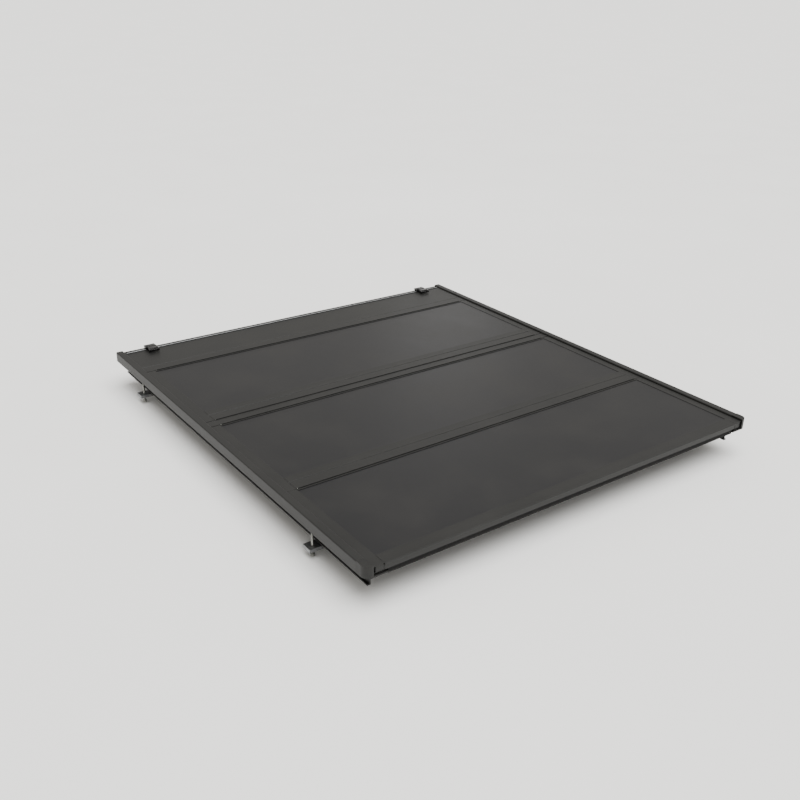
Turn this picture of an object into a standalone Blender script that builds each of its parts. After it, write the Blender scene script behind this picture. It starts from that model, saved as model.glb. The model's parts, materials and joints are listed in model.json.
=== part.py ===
"""Hard folding tonneau cover for a full-size pickup bed.

Three framed panels fold towards the cab on full-width pin hinges. The rear panel folds
flat onto the middle one, that pair folds over a spacer strip onto the front one, and the
stack tips up on the fixed header. Side rails clamp to the flanges of the bed.

Metres. X runs across the bed, +Y towards the cab, +Z up. The origin is the middle of the
bed opening, in the plane where the side rails rest on the bed.
"""

import math

import bmesh
import bpy
from mathutils import Vector

# Overall sizes
COVER_WIDTH = 1.600
REAR_PANEL_LENGTH = 0.452
MIDDLE_PANEL_LENGTH = 0.5045
SPACER_WIDTH = 0.0415
FRONT_PANEL_LENGTH = 0.503
HEADER_HINGE_WIDTH = 0.047
HEADER_PLATE_LENGTH = 0.189
CLEARANCE = 0.0003

# Side rails
RAIL_FLANGE = 0.004
BEAD_WIDTH = 0.027
BEAD_RISE = 0.006
BEAD_WALL = 0.003
LEDGE_WIDTH = 0.046
WEB_THICKNESS = 0.0035
WEB_INSET = 0.044
WEB_DEPTH = 0.056
WEB_FOOT = 0.008
EDGE_RADIUS = 0.004
CORNER_RADIUS = 0.024
CORNER_CAP_LENGTH = 0.044
CORNER_CAP_OVERHANG = 0.004
RAIL_SEAL_WIDTH = 0.018
RAIL_SEAL_HEIGHT = 0.005
RAIL_SEAL_INSET = 0.010

# Panels
PANEL_THICKNESS = 0.022
SIDE_GAP = 0.0015
SIDE_BAND = 0.0335
FRAME_WEB = 0.006
FRAME_LIP = 0.0012
SKIN_THICKNESS = 0.002
REAR_BAND = 0.042
HINGE_BAND = 0.080
FRONT_NOSE = 0.007
FRONT_LIP = 0.013
HOLLOW_CEILING = 0.0045
LEG_THICKNESS = 0.003
CHANNEL_DEPTH = 0.022
GROOVE_WIDTH = 0.005
GROOVE_DEPTH = 0.0014
GROOVE_FROM_HINGE = 0.045
DRIP_LIP = 0.004
DRIP_LIP_THICKNESS = 0.0035

# Hinges
AXIS_ABOVE_TOP = 0.0004
KNUCKLE_RADIUS = 0.0024
PIN_RADIUS = 0.0012
PIN_CLEARANCE = 0.00025
KNUCKLE_RELIEF = 0.0005
HINGE_GAP = 0.003
FRAME_END_GAP = 0.001
KNUCKLES = 12
KNUCKLE_GAP = 0.0008
KNUCKLE_MARGIN = 0.003
KNUCKLE_ROOT = 0.0045
KNUCKLE_SIDES = 10

# Header
HEADER_WALL = 0.0025
HEADER_LEG = 0.003
RIDGE_FROM_FRONT = 0.025
RIDGE_WIDTH = 0.003
RIDGE_HEIGHT = 0.003
BULKHEAD_SEAL_WIDTH = 0.018
BULKHEAD_SEAL_HEIGHT = 0.020
TAILGATE_SEAL_WIDTH = 0.018
TAILGATE_SEAL_DROP = 0.0055

# Latches
LATCH_LENGTH = 0.068
LATCH_WIDTH = 0.034
LATCH_DROP = 0.008
LATCH_EDGE_GAP = 0.002
LATCH_FROM_REAR = 0.085
BOLT_WIDTH = 0.024
BOLT_THICKNESS = 0.006
BOLT_LENGTH = 0.056
BOLT_RAMP = 0.004
BOLT_CLEARANCE = 0.0004
CABLE_RADIUS = 0.0015
CABLE_DROP = 0.007

# Prop rods
ROD_RADIUS = 0.004
ROD_LENGTH = 0.400
ROD_FROM_HINGE = 0.058
ROD_DROP = 0.0105
ROD_INSET = 0.0385
ROD_FOOT = 0.026
ROD_TANG = 0.015
ROD_BEND = 0.010
BRACKET_LENGTH = 0.026
BRACKET_PLATE = 0.003
BRACKET_BASE = 0.026
BRACKET_EAR = 0.020

# Clamps
CLAMP_FROM_REAR = (0.300, 1.535)
CLAMP_WIDTH = 0.040
CLAMP_LEG = 0.008
CLAMP_ARM = 0.012
CLAMP_BELOW_WEB = 0.009
CLAMP_REACH = 0.046
SCREW_RADIUS = 0.004
SCREW_CLEARANCE = 0.0005
SCREW_FROM_EDGE = 0.023
PAD_RADIUS = 0.010
PAD_THICKNESS = 0.004
PAD_GAP = 0.014
SCREW_HEAD_RADIUS = 0.0075
SCREW_HEAD_HEIGHT = 0.008
SCREW_BELOW_ARM = 0.016

# Storage straps
BUCKLE_WIDTH = 0.046
BUCKLE_LENGTH = 0.062
BUCKLE_HEIGHT = 0.012
BUCKLE_FROM_FRONT = 0.004
BUCKLE_X = 0.668
STRAP_WIDTH = 0.026
STRAP_THICKNESS = 0.0016
STRAP_TAIL = 0.024

# Places worked out from the sizes above
COVER_LENGTH = (
    REAR_PANEL_LENGTH + MIDDLE_PANEL_LENGTH + SPACER_WIDTH
    + FRONT_PANEL_LENGTH + HEADER_HINGE_WIDTH + HEADER_PLATE_LENGTH
)
REAR_Y = -COVER_LENGTH / 2
REAR_HINGE_Y = REAR_Y + REAR_PANEL_LENGTH
SPACER_REAR_Y = REAR_HINGE_Y + MIDDLE_PANEL_LENGTH
SPACER_FRONT_Y = SPACER_REAR_Y + SPACER_WIDTH
FRONT_HINGE_Y = SPACER_FRONT_Y + FRONT_PANEL_LENGTH
HEADER_PLATE_Y = FRONT_HINGE_Y + HEADER_HINGE_WIDTH
FRONT_Y = REAR_Y + COVER_LENGTH

HALF_WIDTH = COVER_WIDTH / 2
BEAD_INNER_X = HALF_WIDTH - BEAD_WIDTH
LEDGE_INNER_X = BEAD_INNER_X - LEDGE_WIDTH
WEB_OUTER_X = HALF_WIDTH - WEB_INSET
WEB_INNER_X = WEB_OUTER_X - WEB_THICKNESS
PANEL_EDGE_X = BEAD_INNER_X - SIDE_GAP
BAND_INNER_X = PANEL_EDGE_X - SIDE_BAND
CROSS_END_X = BAND_INNER_X - CLEARANCE

BED_Z = 0.0
LEDGE_Z = BED_Z + RAIL_FLANGE
PANEL_BOTTOM_Z = LEDGE_Z + RAIL_SEAL_HEIGHT + 2 * CLEARANCE
TOP_Z = PANEL_BOTTOM_Z + PANEL_THICKNESS
BEAD_TOP_Z = TOP_Z + BEAD_RISE
AXIS_Z = TOP_Z + AXIS_ABOVE_TOP
SKIN_TOP_Z = TOP_Z - FRAME_LIP - CLEARANCE
SKIN_BOTTOM_Z = SKIN_TOP_Z - SKIN_THICKNESS
CORE_BOTTOM_Z = PANEL_BOTTOM_Z + FRAME_LIP + CLEARANCE
STEP_BACK = KNUCKLE_RADIUS + KNUCKLE_RELIEF
STEP_DOWN = KNUCKLE_RADIUS + KNUCKLE_RELIEF - AXIS_ABOVE_TOP

SIDES = (("left", -1), ("right", 1))


def finish(name, hex_colour, roughness, metallic=0.0):
    """Principled material from an sRGB hex colour."""
    channels = [int(hex_colour[i:i + 2], 16) / 255 for i in (0, 2, 4)]
    linear = [c / 12.92 if c <= 0.04045 else ((c + 0.055) / 1.055) ** 2.4 for c in channels]
    made = bpy.data.materials.new(name)
    made.use_nodes = True
    shader = made.node_tree.nodes["Principled BSDF"]
    shader.inputs["Base Color"].default_value = (*linear, 1.0)
    shader.inputs["Roughness"].default_value = roughness
    shader.inputs["Metallic"].default_value = metallic
    return made


def clear_scene():
    """Remove every object of the starting scene."""
    for obj in list(bpy.data.objects):
        bpy.data.objects.remove(obj, do_unlink=True)


def add(name, mesh, material, location=(0, 0, 0), parent=None):
    """Link a mesh or curve as a named object, placed in world space."""
    mesh.materials.append(material)
    obj = bpy.data.objects.new(name, mesh)
    bpy.context.scene.collection.objects.link(obj)
    if parent:
        obj.parent = parent
        obj.location = Vector(location) - parent.location
    else:
        obj.location = location
    return obj


def joint_empty(name, location):
    """Empty on a joint's axis, which carries the pieces that move on it."""
    empty = bpy.data.objects.new(name, None)
    bpy.context.scene.collection.objects.link(empty)
    empty.location = location
    return empty


def cutter(obj):
    """Keep an object as a hidden cutting shape."""
    obj.hide_render = True
    obj.display_type = "WIRE"
    return obj


def boolean(obj, other, operation):
    """Add an exact Boolean with another object."""
    modifier = obj.modifiers.new(f"{operation.title()} {other.name}", "BOOLEAN")
    modifier.operation = operation
    modifier.object = other
    modifier.solver = "EXACT"


def soften(mesh, angle=35):
    """Shade a mesh smooth, with edges above the angle kept sharp."""
    mesh.shade_smooth()
    mesh.set_sharp_from_angle(angle=math.radians(angle))


def arc(centre, radius, start, end, steps):
    """Points along an arc, angles in degrees."""
    return [
        (centre[0] + radius * math.cos(a), centre[1] + radius * math.sin(a))
        for a in (math.radians(start + (end - start) * i / steps) for i in range(steps + 1))
    ]


def prism(outlines, axis, start, end):
    """Mesh of closed outlines extruded along X, Y or Z. A corner is placed by its two other axes."""
    place = {
        "X": lambda u, v, t: (t, u, v),
        "Y": lambda u, v, t: (u, t, v),
        "Z": lambda u, v, t: (u, v, t),
    }[axis]
    bm = bmesh.new()
    for outline in outlines:
        corners = [bm.verts.new(place(u, v, start)) for u, v in outline]
        face = bm.faces.new(corners)
        swept = bmesh.ops.extrude_face_region(bm, geom=[face])
        moved = [item for item in swept["geom"] if isinstance(item, bmesh.types.BMVert)]
        bmesh.ops.translate(bm, verts=moved, vec=Vector(place(0, 0, end - start)))
    bmesh.ops.recalc_face_normals(bm, faces=bm.faces)
    mesh = bpy.data.meshes.new("prism")
    bm.to_mesh(mesh)
    bm.free()
    soften(mesh)
    return mesh


def box(low, high):
    """Mesh of an upright box between two corners."""
    outline = [(low[0], low[1]), (high[0], low[1]), (high[0], high[1]), (low[0], high[1])]
    return prism([outline], "Z", low[2], high[2])


def turned(profile, steps):
    """Mesh turned about Z from (radius, z) points that start and end on the axis."""
    bm = bmesh.new()
    points = [bm.verts.new((radius, 0.0, z)) for radius, z in profile]
    edges = [bm.edges.new(pair) for pair in zip(points, points[1:])]
    bmesh.ops.spin(
        bm, geom=points + edges, axis=(0, 0, 1), cent=(0, 0, 0),
        angle=math.tau, steps=steps, use_merge=True,
    )
    bmesh.ops.remove_doubles(bm, verts=bm.verts, dist=1e-6)
    bmesh.ops.recalc_face_normals(bm, faces=bm.faces)
    mesh = bpy.data.meshes.new("turned")
    bm.to_mesh(mesh)
    bm.free()
    soften(mesh)
    return mesh


def tube(points, radius):
    """Curve of round section through a list of points, with closed ends."""
    curve = bpy.data.curves.new("tube", "CURVE")
    curve.dimensions = "3D"
    curve.bevel_depth = radius
    curve.bevel_resolution = 2
    curve.use_fill_caps = True
    spline = curve.splines.new("POLY")
    spline.points.add(len(points) - 1)
    for point, place in zip(spline.points, points):
        point.co = (*place, 1.0)
    return curve


def knuckle_outline(axis_y, side):
    """Barrel on the hinge axis with a root that reaches into the extrusion on one side."""
    top = AXIS_ABOVE_TOP + CLEARANCE / 2
    low = KNUCKLE_RADIUS * 0.75
    start = 180 - math.degrees(math.asin(-top / KNUCKLE_RADIUS))
    end = -(180 - math.degrees(math.asin(low / KNUCKLE_RADIUS)))
    barrel = arc((0.0, 0.0), KNUCKLE_RADIUS, start, end, KNUCKLE_SIDES)
    points = [(-KNUCKLE_ROOT, -top), *barrel, (-KNUCKLE_ROOT, -low)]
    return [(axis_y - side * u, AXIS_Z + v) for u, v in points]


def knuckles(name, axis_y, side, first, material):
    """Every second barrel of a hinge, joined in one helper mesh."""
    reach = CROSS_END_X - KNUCKLE_MARGIN
    pitch = 2 * reach / KNUCKLES
    outline = knuckle_outline(axis_y, side)
    parts = []
    for i in range(first, KNUCKLES, 2):
        start = -reach + i * pitch + KNUCKLE_GAP / 2
        parts.append(prism([outline], "X", start, start + pitch - KNUCKLE_GAP))
    bm = bmesh.new()
    for part in parts:
        bm.from_mesh(part)
        bpy.data.meshes.remove(part)
    mesh = bpy.data.meshes.new(name)
    bm.to_mesh(mesh)
    bm.free()
    return cutter(add(name, mesh, material))


def pin_bore(name, axis_y, material):
    """Round cutter along a hinge axis."""
    outline = arc((axis_y, AXIS_Z), PIN_RADIUS + PIN_CLEARANCE, 0, 324, 9)
    reach = CROSS_END_X + KNUCKLE_MARGIN
    return cutter(add(name, prism([outline], "X", -reach, reach), material))


def hinge_pin(name, axis_y, material, parent=None):
    """Full-width pin in the barrels of a hinge."""
    reach = CROSS_END_X - KNUCKLE_MARGIN + KNUCKLE_GAP
    outline = arc((0, 0), PIN_RADIUS, 0, 315, 7)
    return add(name, prism([outline], "X", -reach, reach), material, (0, axis_y, AXIS_Z), parent)


def hinge_edge(axis_y, side):
    """Outline points of an extrusion's hinge edge, from its foot up to its top face."""
    return [
        (axis_y + side * HINGE_GAP / 2, PANEL_BOTTOM_Z),
        (axis_y + side * HINGE_GAP / 2, TOP_Z - STEP_DOWN),
        (axis_y + side * STEP_BACK, TOP_Z - STEP_DOWN),
        (axis_y + side * STEP_BACK, TOP_Z),
    ]


def band_outline(axis_y):
    """Hinge extrusion on the cab side of an axis, with a groove and a channel for the panel."""
    front = axis_y + HINGE_BAND
    groove = axis_y + GROOVE_FROM_HINGE
    channel = front - CHANNEL_DEPTH
    ceiling = TOP_Z - HOLLOW_CEILING
    leg = axis_y + HINGE_GAP / 2 + LEG_THICKNESS
    return [
        *hinge_edge(axis_y, 1),
        (groove - GROOVE_WIDTH / 2, TOP_Z),
        (groove - GROOVE_WIDTH / 4, TOP_Z - GROOVE_DEPTH),
        (groove + GROOVE_WIDTH / 4, TOP_Z - GROOVE_DEPTH),
        (groove + GROOVE_WIDTH / 2, TOP_Z),
        (front - FRAME_LIP / 2, TOP_Z),
        (front, TOP_Z - FRAME_LIP / 2),
        (front, TOP_Z - FRAME_LIP),
        (channel, TOP_Z - FRAME_LIP),
        (channel, PANEL_BOTTOM_Z + FRAME_LIP),
        (front, PANEL_BOTTOM_Z + FRAME_LIP),
        (front, PANEL_BOTTOM_Z),
        (channel - LEG_THICKNESS, PANEL_BOTTOM_Z),
        (channel - LEG_THICKNESS, ceiling),
        (leg, ceiling),
        (leg, PANEL_BOTTOM_Z),
    ]


def nose_outline(axis_y):
    """Slim hinge extrusion on the tailgate side of an axis, with a lip under the panel."""
    back = axis_y - HINGE_GAP / 2 - FRONT_NOSE
    return [
        *hinge_edge(axis_y, -1),
        (back, TOP_Z),
        (back, PANEL_BOTTOM_Z + FRAME_LIP),
        (back - FRONT_LIP, PANEL_BOTTOM_Z + FRAME_LIP),
        (back - FRONT_LIP, PANEL_BOTTOM_Z),
    ]


def hinged_extrusion(name, outline, half_length, hinges, material, parent=None):
    """Extrusion along X with barrels and a pin bore on each of its hinges."""
    obj = add(name, prism([outline], "X", -half_length, half_length), material)
    for number, (axis_y, side, first, bore) in enumerate(hinges):
        barrels = knuckles(f"{name}_barrels_{number}", axis_y, side, first, material)
        boolean(obj, barrels, "UNION")
        boolean(obj, bore, "DIFFERENCE")
    carry(obj, parent)
    return obj


def carry(obj, parent):
    """Parent an object without moving it."""
    if parent:
        obj.parent = parent
        obj.location = -parent.location


def side_frame(name, side, start, end, material, parent):
    """Channel along one side of a panel, which holds the edges of its skin and core."""
    lip = TOP_Z - FRAME_LIP
    foot = PANEL_BOTTOM_Z + FRAME_LIP
    inner = PANEL_EDGE_X - FRAME_WEB
    outline = [
        (BAND_INNER_X, PANEL_BOTTOM_Z),
        (PANEL_EDGE_X, PANEL_BOTTOM_Z),
        (PANEL_EDGE_X, TOP_Z - FRAME_LIP),
        (PANEL_EDGE_X - FRAME_LIP, TOP_Z),
        (BAND_INNER_X + FRAME_LIP / 2, TOP_Z),
        (BAND_INNER_X, TOP_Z - FRAME_LIP / 2),
        (BAND_INNER_X, lip),
        (inner, lip),
        (inner, foot),
        (BAND_INNER_X, foot),
    ]
    obj = add(name, prism([[(side * x, z) for x, z in outline]], "Y", start, end), material)
    carry(obj, parent)


def panel_boards(name, start, end, materials, parent):
    """Skin and core of a panel between its cross extrusions."""
    reach = PANEL_EDGE_X - FRAME_WEB - CLEARANCE
    skin = box((-reach, start, SKIN_BOTTOM_Z), (reach, end, SKIN_TOP_Z))
    carry(add(f"{name}_skin", skin, materials["skin"]), parent)
    core_top = SKIN_BOTTOM_Z - CLEARANCE
    core = box((-reach, start, CORE_BOTTOM_Z), (reach, end, core_top))
    carry(add(f"{name}_core", core, materials["core"]), parent)


def side_rail(label, side, material):
    """Rail with an outer bead, a ledge for the panels and a web down inside the bed."""
    outline = [
        (LEDGE_INNER_X, BED_Z),
        (WEB_INNER_X, BED_Z),
        (WEB_INNER_X, -WEB_DEPTH),
        (WEB_OUTER_X + WEB_FOOT, -WEB_DEPTH),
        (WEB_OUTER_X + WEB_FOOT, -WEB_DEPTH + WEB_THICKNESS),
        (WEB_OUTER_X, -WEB_DEPTH + WEB_THICKNESS),
        (WEB_OUTER_X, BED_Z),
        (HALF_WIDTH, BED_Z),
        *arc((HALF_WIDTH - EDGE_RADIUS, BEAD_TOP_Z - EDGE_RADIUS), EDGE_RADIUS, 0, 90, 4),
        *arc((BEAD_INNER_X + EDGE_RADIUS, BEAD_TOP_Z - EDGE_RADIUS), EDGE_RADIUS, 90, 180, 4),
        (BEAD_INNER_X, LEDGE_Z),
        (LEDGE_INNER_X, LEDGE_Z),
    ]
    start = REAR_Y + CORNER_CAP_LENGTH - CORNER_CAP_OVERHANG + CLEARANCE
    rail = add(f"{label}_side_rail", prism([[(side * x, z) for x, z in outline]], "Y", start, FRONT_Y), material)
    chamber = [
        (BEAD_INNER_X + BEAD_WALL, LEDGE_Z),
        (HALF_WIDTH - BEAD_WALL, LEDGE_Z),
        (HALF_WIDTH - BEAD_WALL, BEAD_TOP_Z - BEAD_WALL),
        (BEAD_INNER_X + BEAD_WALL, BEAD_TOP_Z - BEAD_WALL),
    ]
    hollow_mesh = prism([[(side * x, z) for x, z in chamber]], "Y", start - BEAD_WIDTH, FRONT_Y + BEAD_WIDTH)
    boolean(rail, cutter(add(f"{label}_bead_hollow", hollow_mesh, material)), "DIFFERENCE")


def corner_cap(label, side, material):
    """Moulded cap that rounds off the rear end of a rail and carries its ledge on."""
    rear = REAR_Y - CORNER_CAP_OVERHANG
    front = rear + CORNER_CAP_LENGTH
    centre = (HALF_WIDTH - CORNER_RADIUS, rear + CORNER_RADIUS)
    plan = [
        (BEAD_INNER_X, front),
        (BEAD_INNER_X, rear),
        *arc(centre, CORNER_RADIUS, -90, 0, 8),
        (HALF_WIDTH, front),
    ]
    cap = prism([[(side * x, y) for x, y in plan]], "Z", BED_Z, BEAD_TOP_Z)
    obj = add(f"{label}_corner_cap", cap, material)
    ledge_low = (LEDGE_INNER_X, rear + CLEARANCE, BED_Z + CLEARANCE)
    ledge_high = (BEAD_INNER_X + BEAD_WIDTH / 4, front - CLEARANCE, LEDGE_Z)
    tab_outline = [
        (side * ledge_low[0], ledge_low[1]),
        (side * ledge_high[0], ledge_low[1]),
        (side * ledge_high[0], ledge_high[1]),
        (side * ledge_low[0], ledge_high[1]),
    ]
    tab = cutter(add(f"{label}_cap_ledge", prism([tab_outline], "Z", ledge_low[2], LEDGE_Z), material))
    boolean(obj, tab, "UNION")


def rail_seal(label, side, material):
    """Rubber strip on the ledge, which the panels press on."""
    inner = LEDGE_INNER_X + RAIL_SEAL_INSET
    outer = inner + RAIL_SEAL_WIDTH
    low = LEDGE_Z + CLEARANCE
    high = low + RAIL_SEAL_HEIGHT
    round_edge = RAIL_SEAL_HEIGHT / 2
    outline = [
        (inner, low),
        (outer, low),
        *arc((outer - round_edge, high - round_edge), round_edge, 0, 90, 3),
        *arc((inner + round_edge, high - round_edge), round_edge, 90, 180, 3),
    ]
    mesh = prism([[(side * x, z) for x, z in outline]], "Y", REAR_Y, FRONT_Y - HEADER_LEG - CLEARANCE)
    add(f"{label}_rail_seal", mesh, material)


def header(materials, bore):
    """Fixed section at the cab end: hinge extrusion and ridged plate across both rails."""
    rail_end = HEADER_PLATE_Y - CLEARANCE
    ceiling = TOP_Z - HOLLOW_CEILING
    leg = FRONT_HINGE_Y + HINGE_GAP / 2 + LEG_THICKNESS
    hinge_outline = [
        *hinge_edge(FRONT_HINGE_Y, 1),
        (rail_end - FRAME_LIP, TOP_Z),
        (rail_end, TOP_Z - FRAME_LIP),
        (rail_end, PANEL_BOTTOM_Z),
        (rail_end - LEG_THICKNESS, PANEL_BOTTOM_Z),
        (rail_end - LEG_THICKNESS, ceiling),
        (leg, ceiling),
        (leg, PANEL_BOTTOM_Z),
    ]
    hinges = [(FRONT_HINGE_Y, 1, 1, bore)]
    hinged_extrusion("header_hinge_rail", hinge_outline, PANEL_EDGE_X, hinges, materials["frame"])
    ridge = FRONT_Y - RIDGE_FROM_FRONT
    plate_outline = [
        (HEADER_PLATE_Y, PANEL_BOTTOM_Z),
        (HEADER_PLATE_Y, TOP_Z - FRAME_LIP),
        (HEADER_PLATE_Y + FRAME_LIP, TOP_Z),
        (ridge - RIDGE_WIDTH / 2, TOP_Z),
        *arc((ridge, TOP_Z + RIDGE_HEIGHT - RIDGE_WIDTH / 2), RIDGE_WIDTH / 2, 180, 0, 4),
        (ridge + RIDGE_WIDTH / 2, TOP_Z),
        (FRONT_Y - FRAME_LIP, TOP_Z),
        (FRONT_Y, TOP_Z - FRAME_LIP),
        (FRONT_Y, PANEL_BOTTOM_Z),
        (FRONT_Y - HEADER_LEG, PANEL_BOTTOM_Z),
        (FRONT_Y - HEADER_LEG, TOP_Z - HEADER_WALL),
        (HEADER_PLATE_Y + HEADER_LEG, TOP_Z - HEADER_WALL),
        (HEADER_PLATE_Y + HEADER_LEG, PANEL_BOTTOM_Z),
    ]
    plate = prism([plate_outline], "X", -PANEL_EDGE_X, PANEL_EDGE_X)
    add("header_plate", plate, materials["frame"])


def bulkhead_seal(material):
    """Rubber block under the header's front edge, which rests on the bed's front wall."""
    front = FRONT_Y - HEADER_LEG - CLEARANCE
    back = front - BULKHEAD_SEAL_WIDTH
    round_edge = BULKHEAD_SEAL_WIDTH / 3
    top = BED_Z + BULKHEAD_SEAL_HEIGHT
    outline = [
        (back, BED_Z),
        (front, BED_Z),
        (front, top),
        *arc((back + round_edge, top - round_edge), round_edge, 90, 180, 4),
    ]
    reach = LEDGE_INNER_X - SIDE_GAP
    add("bulkhead_seal", prism([outline], "X", -reach, reach), material)


def latch_height():
    """Top of the latch bolt, just under the ledge of the rail."""
    return BED_Z - BOLT_CLEARANCE


def latch(prefix, label, side, centre_y, materials, parent):
    """Latch housing under a panel's side and the bolt that slides out of it."""
    outer = LEDGE_INNER_X - LATCH_EDGE_GAP
    inner = outer - LATCH_LENGTH
    bottom = BED_Z - LATCH_DROP
    top = PANEL_BOTTOM_Z - CLEARANCE
    chamfer = LATCH_DROP / 4
    half = LATCH_WIDTH / 2
    outline = [
        (centre_y - half, top),
        (centre_y - half, bottom + chamfer),
        (centre_y - half + chamfer, bottom),
        (centre_y + half - chamfer, bottom),
        (centre_y + half, bottom + chamfer),
        (centre_y + half, top),
    ]
    housing = add(
        f"{prefix}_{label}_latch_housing",
        prism([outline], "X", side * inner, side * outer),
        materials["plastic"],
    )
    bolt_top = latch_height()
    bolt_bottom = bolt_top - BOLT_THICKNESS
    slot_half = BOLT_WIDTH / 2 + BOLT_CLEARANCE
    slot_low = (side * (inner - LATCH_EDGE_GAP), centre_y - slot_half, bolt_bottom - BOLT_CLEARANCE)
    slot_high = (side * (outer + LATCH_EDGE_GAP), centre_y + slot_half, bolt_top + BOLT_CLEARANCE)
    slot_mesh = box(
        (min(slot_low[0], slot_high[0]), slot_low[1], slot_low[2]),
        (max(slot_low[0], slot_high[0]), slot_high[1], slot_high[2]),
    )
    slot = cutter(add(f"{prefix}_{label}_latch_slot", slot_mesh, materials["plastic"]))
    boolean(housing, slot, "DIFFERENCE")
    carry(housing, parent)
    tip = LEDGE_INNER_X - LATCH_EDGE_GAP / 4
    bolt_outline = [
        (tip - BOLT_LENGTH, bolt_bottom),
        (tip - BOLT_RAMP, bolt_bottom),
        (tip, bolt_bottom + BOLT_RAMP),
        (tip, bolt_top),
        (tip - BOLT_LENGTH, bolt_top),
    ]
    bolt = add(
        f"{prefix}_{label}_latch_bolt",
        prism(
            [[(side * x, z) for x, z in bolt_outline]],
            "Y", centre_y - BOLT_WIDTH / 2, centre_y + BOLT_WIDTH / 2,
        ),
        materials["steel"],
    )
    carry(bolt, parent)


def release_cable(prefix, centre_y, material, parent):
    """Cable clipped under a panel, from one latch housing to the other."""
    end = LEDGE_INNER_X - LATCH_EDGE_GAP - LATCH_LENGTH - CLEARANCE
    height = PANEL_BOTTOM_Z - CABLE_DROP
    curve = tube([(-end, 0, 0), (end, 0, 0)], CABLE_RADIUS)
    add(f"{prefix}_release_cable", curve, material, (0, centre_y, height), parent)


def prop_rod(label, side, materials, parent):
    """Bent rod stowed under the front panel, and the bracket that it swings on."""
    pivot_x = side * (LEDGE_INNER_X - ROD_INSET)
    pivot_y = SPACER_FRONT_Y + ROD_FROM_HINGE
    pivot_z = PANEL_BOTTOM_Z - ROD_DROP
    out = Vector((side, 0, 0))
    along = Vector((0, 1, 0))
    route = [out * ROD_TANG]
    for turn, start, end in ((ROD_BEND, out, along), (ROD_LENGTH - ROD_BEND, along, out)):
        near = along * (0 if turn == ROD_BEND else ROD_LENGTH)
        for step in range(5):
            angle = math.radians(90 * step / 4)
            corner = start * (ROD_BEND * (1 - math.sin(angle))) * (1 if start == out else -1)
            corner += end * (ROD_BEND * (1 - math.cos(angle)))
            route.append(near + corner)
    route.append(along * ROD_LENGTH + out * ROD_FOOT)
    add(
        f"{label}_prop_rod",
        tube([tuple(point) for point in route], ROD_RADIUS),
        materials["steel"],
        (pivot_x, pivot_y, pivot_z),
        parent,
    )
    ear = abs(pivot_x) + ROD_BEND + CLEARANCE
    top = PANEL_BOTTOM_Z - CLEARANCE
    outline = [
        (ear, top),
        (ear, top - BRACKET_EAR),
        (ear + BRACKET_PLATE, top - BRACKET_EAR),
        (ear + BRACKET_PLATE, top - BRACKET_PLATE),
        (ear + BRACKET_BASE, top - BRACKET_PLATE),
        (ear + BRACKET_BASE, top),
    ]
    half = BRACKET_LENGTH / 2
    bracket = add(
        f"{label}_rod_bracket",
        prism([[(side * x, z) for x, z in outline]], "Y", pivot_y - half, pivot_y + half),
        materials["frame"],
    )
    ring = arc((pivot_y, pivot_z), ROD_RADIUS + SCREW_CLEARANCE, 0, 330, 11)
    ends = (side * (ear - BRACKET_PLATE), side * (ear + 2 * BRACKET_PLATE))
    hole = cutter(add(f"{label}_rod_hole", prism([ring], "X", *ends), materials["frame"]))
    boolean(bracket, hole, "DIFFERENCE")
    carry(bracket, parent)


def clamp(name, side, centre_y, materials):
    """Rail clamp: a body on the web and a screw whose pad grips the bed's flange."""
    leg_outer = WEB_INNER_X - CLEARANCE
    leg_inner = leg_outer - CLAMP_LEG
    arm_top = BED_Z - WEB_DEPTH - CLAMP_BELOW_WEB
    arm_bottom = arm_top - CLAMP_ARM
    top = BED_Z - LATCH_DROP
    outline = [
        (leg_inner, top),
        (leg_inner, arm_bottom + CLAMP_LEG),
        (leg_inner + CLAMP_LEG, arm_bottom),
        (leg_inner + CLAMP_LEG + CLAMP_REACH, arm_bottom),
        (leg_inner + CLAMP_LEG + CLAMP_REACH, arm_top),
        (leg_outer, arm_top),
        (leg_outer, top),
    ]
    half = CLAMP_WIDTH / 2
    body = add(
        f"{name}_clamp_body",
        prism([[(side * x, z) for x, z in outline]], "Y", centre_y - half, centre_y + half),
        materials["cast"],
    )
    screw_x = side * (HALF_WIDTH - SCREW_FROM_EDGE)
    ring = arc((screw_x, centre_y), SCREW_RADIUS + SCREW_CLEARANCE, 0, 330, 11)
    hole_mesh = prism([ring], "Z", arm_bottom - CLAMP_ARM, arm_top + CLAMP_ARM)
    boolean(body, cutter(add(f"{name}_clamp_hole", hole_mesh, materials["cast"])), "DIFFERENCE")
    pad_top = BED_Z - PAD_GAP
    head_top = arm_bottom - SCREW_BELOW_ARM
    profile = [
        (0, head_top - SCREW_HEAD_HEIGHT),
        (SCREW_HEAD_RADIUS, head_top - SCREW_HEAD_HEIGHT),
        (SCREW_HEAD_RADIUS, head_top),
        (SCREW_RADIUS, head_top),
        (SCREW_RADIUS, pad_top - PAD_THICKNESS),
        (PAD_RADIUS, pad_top - PAD_THICKNESS),
        (PAD_RADIUS, pad_top),
        (0, pad_top),
    ]
    add(f"{name}_clamp_screw", turned(profile, 12), materials["steel"], (screw_x, centre_y, 0))


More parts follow.
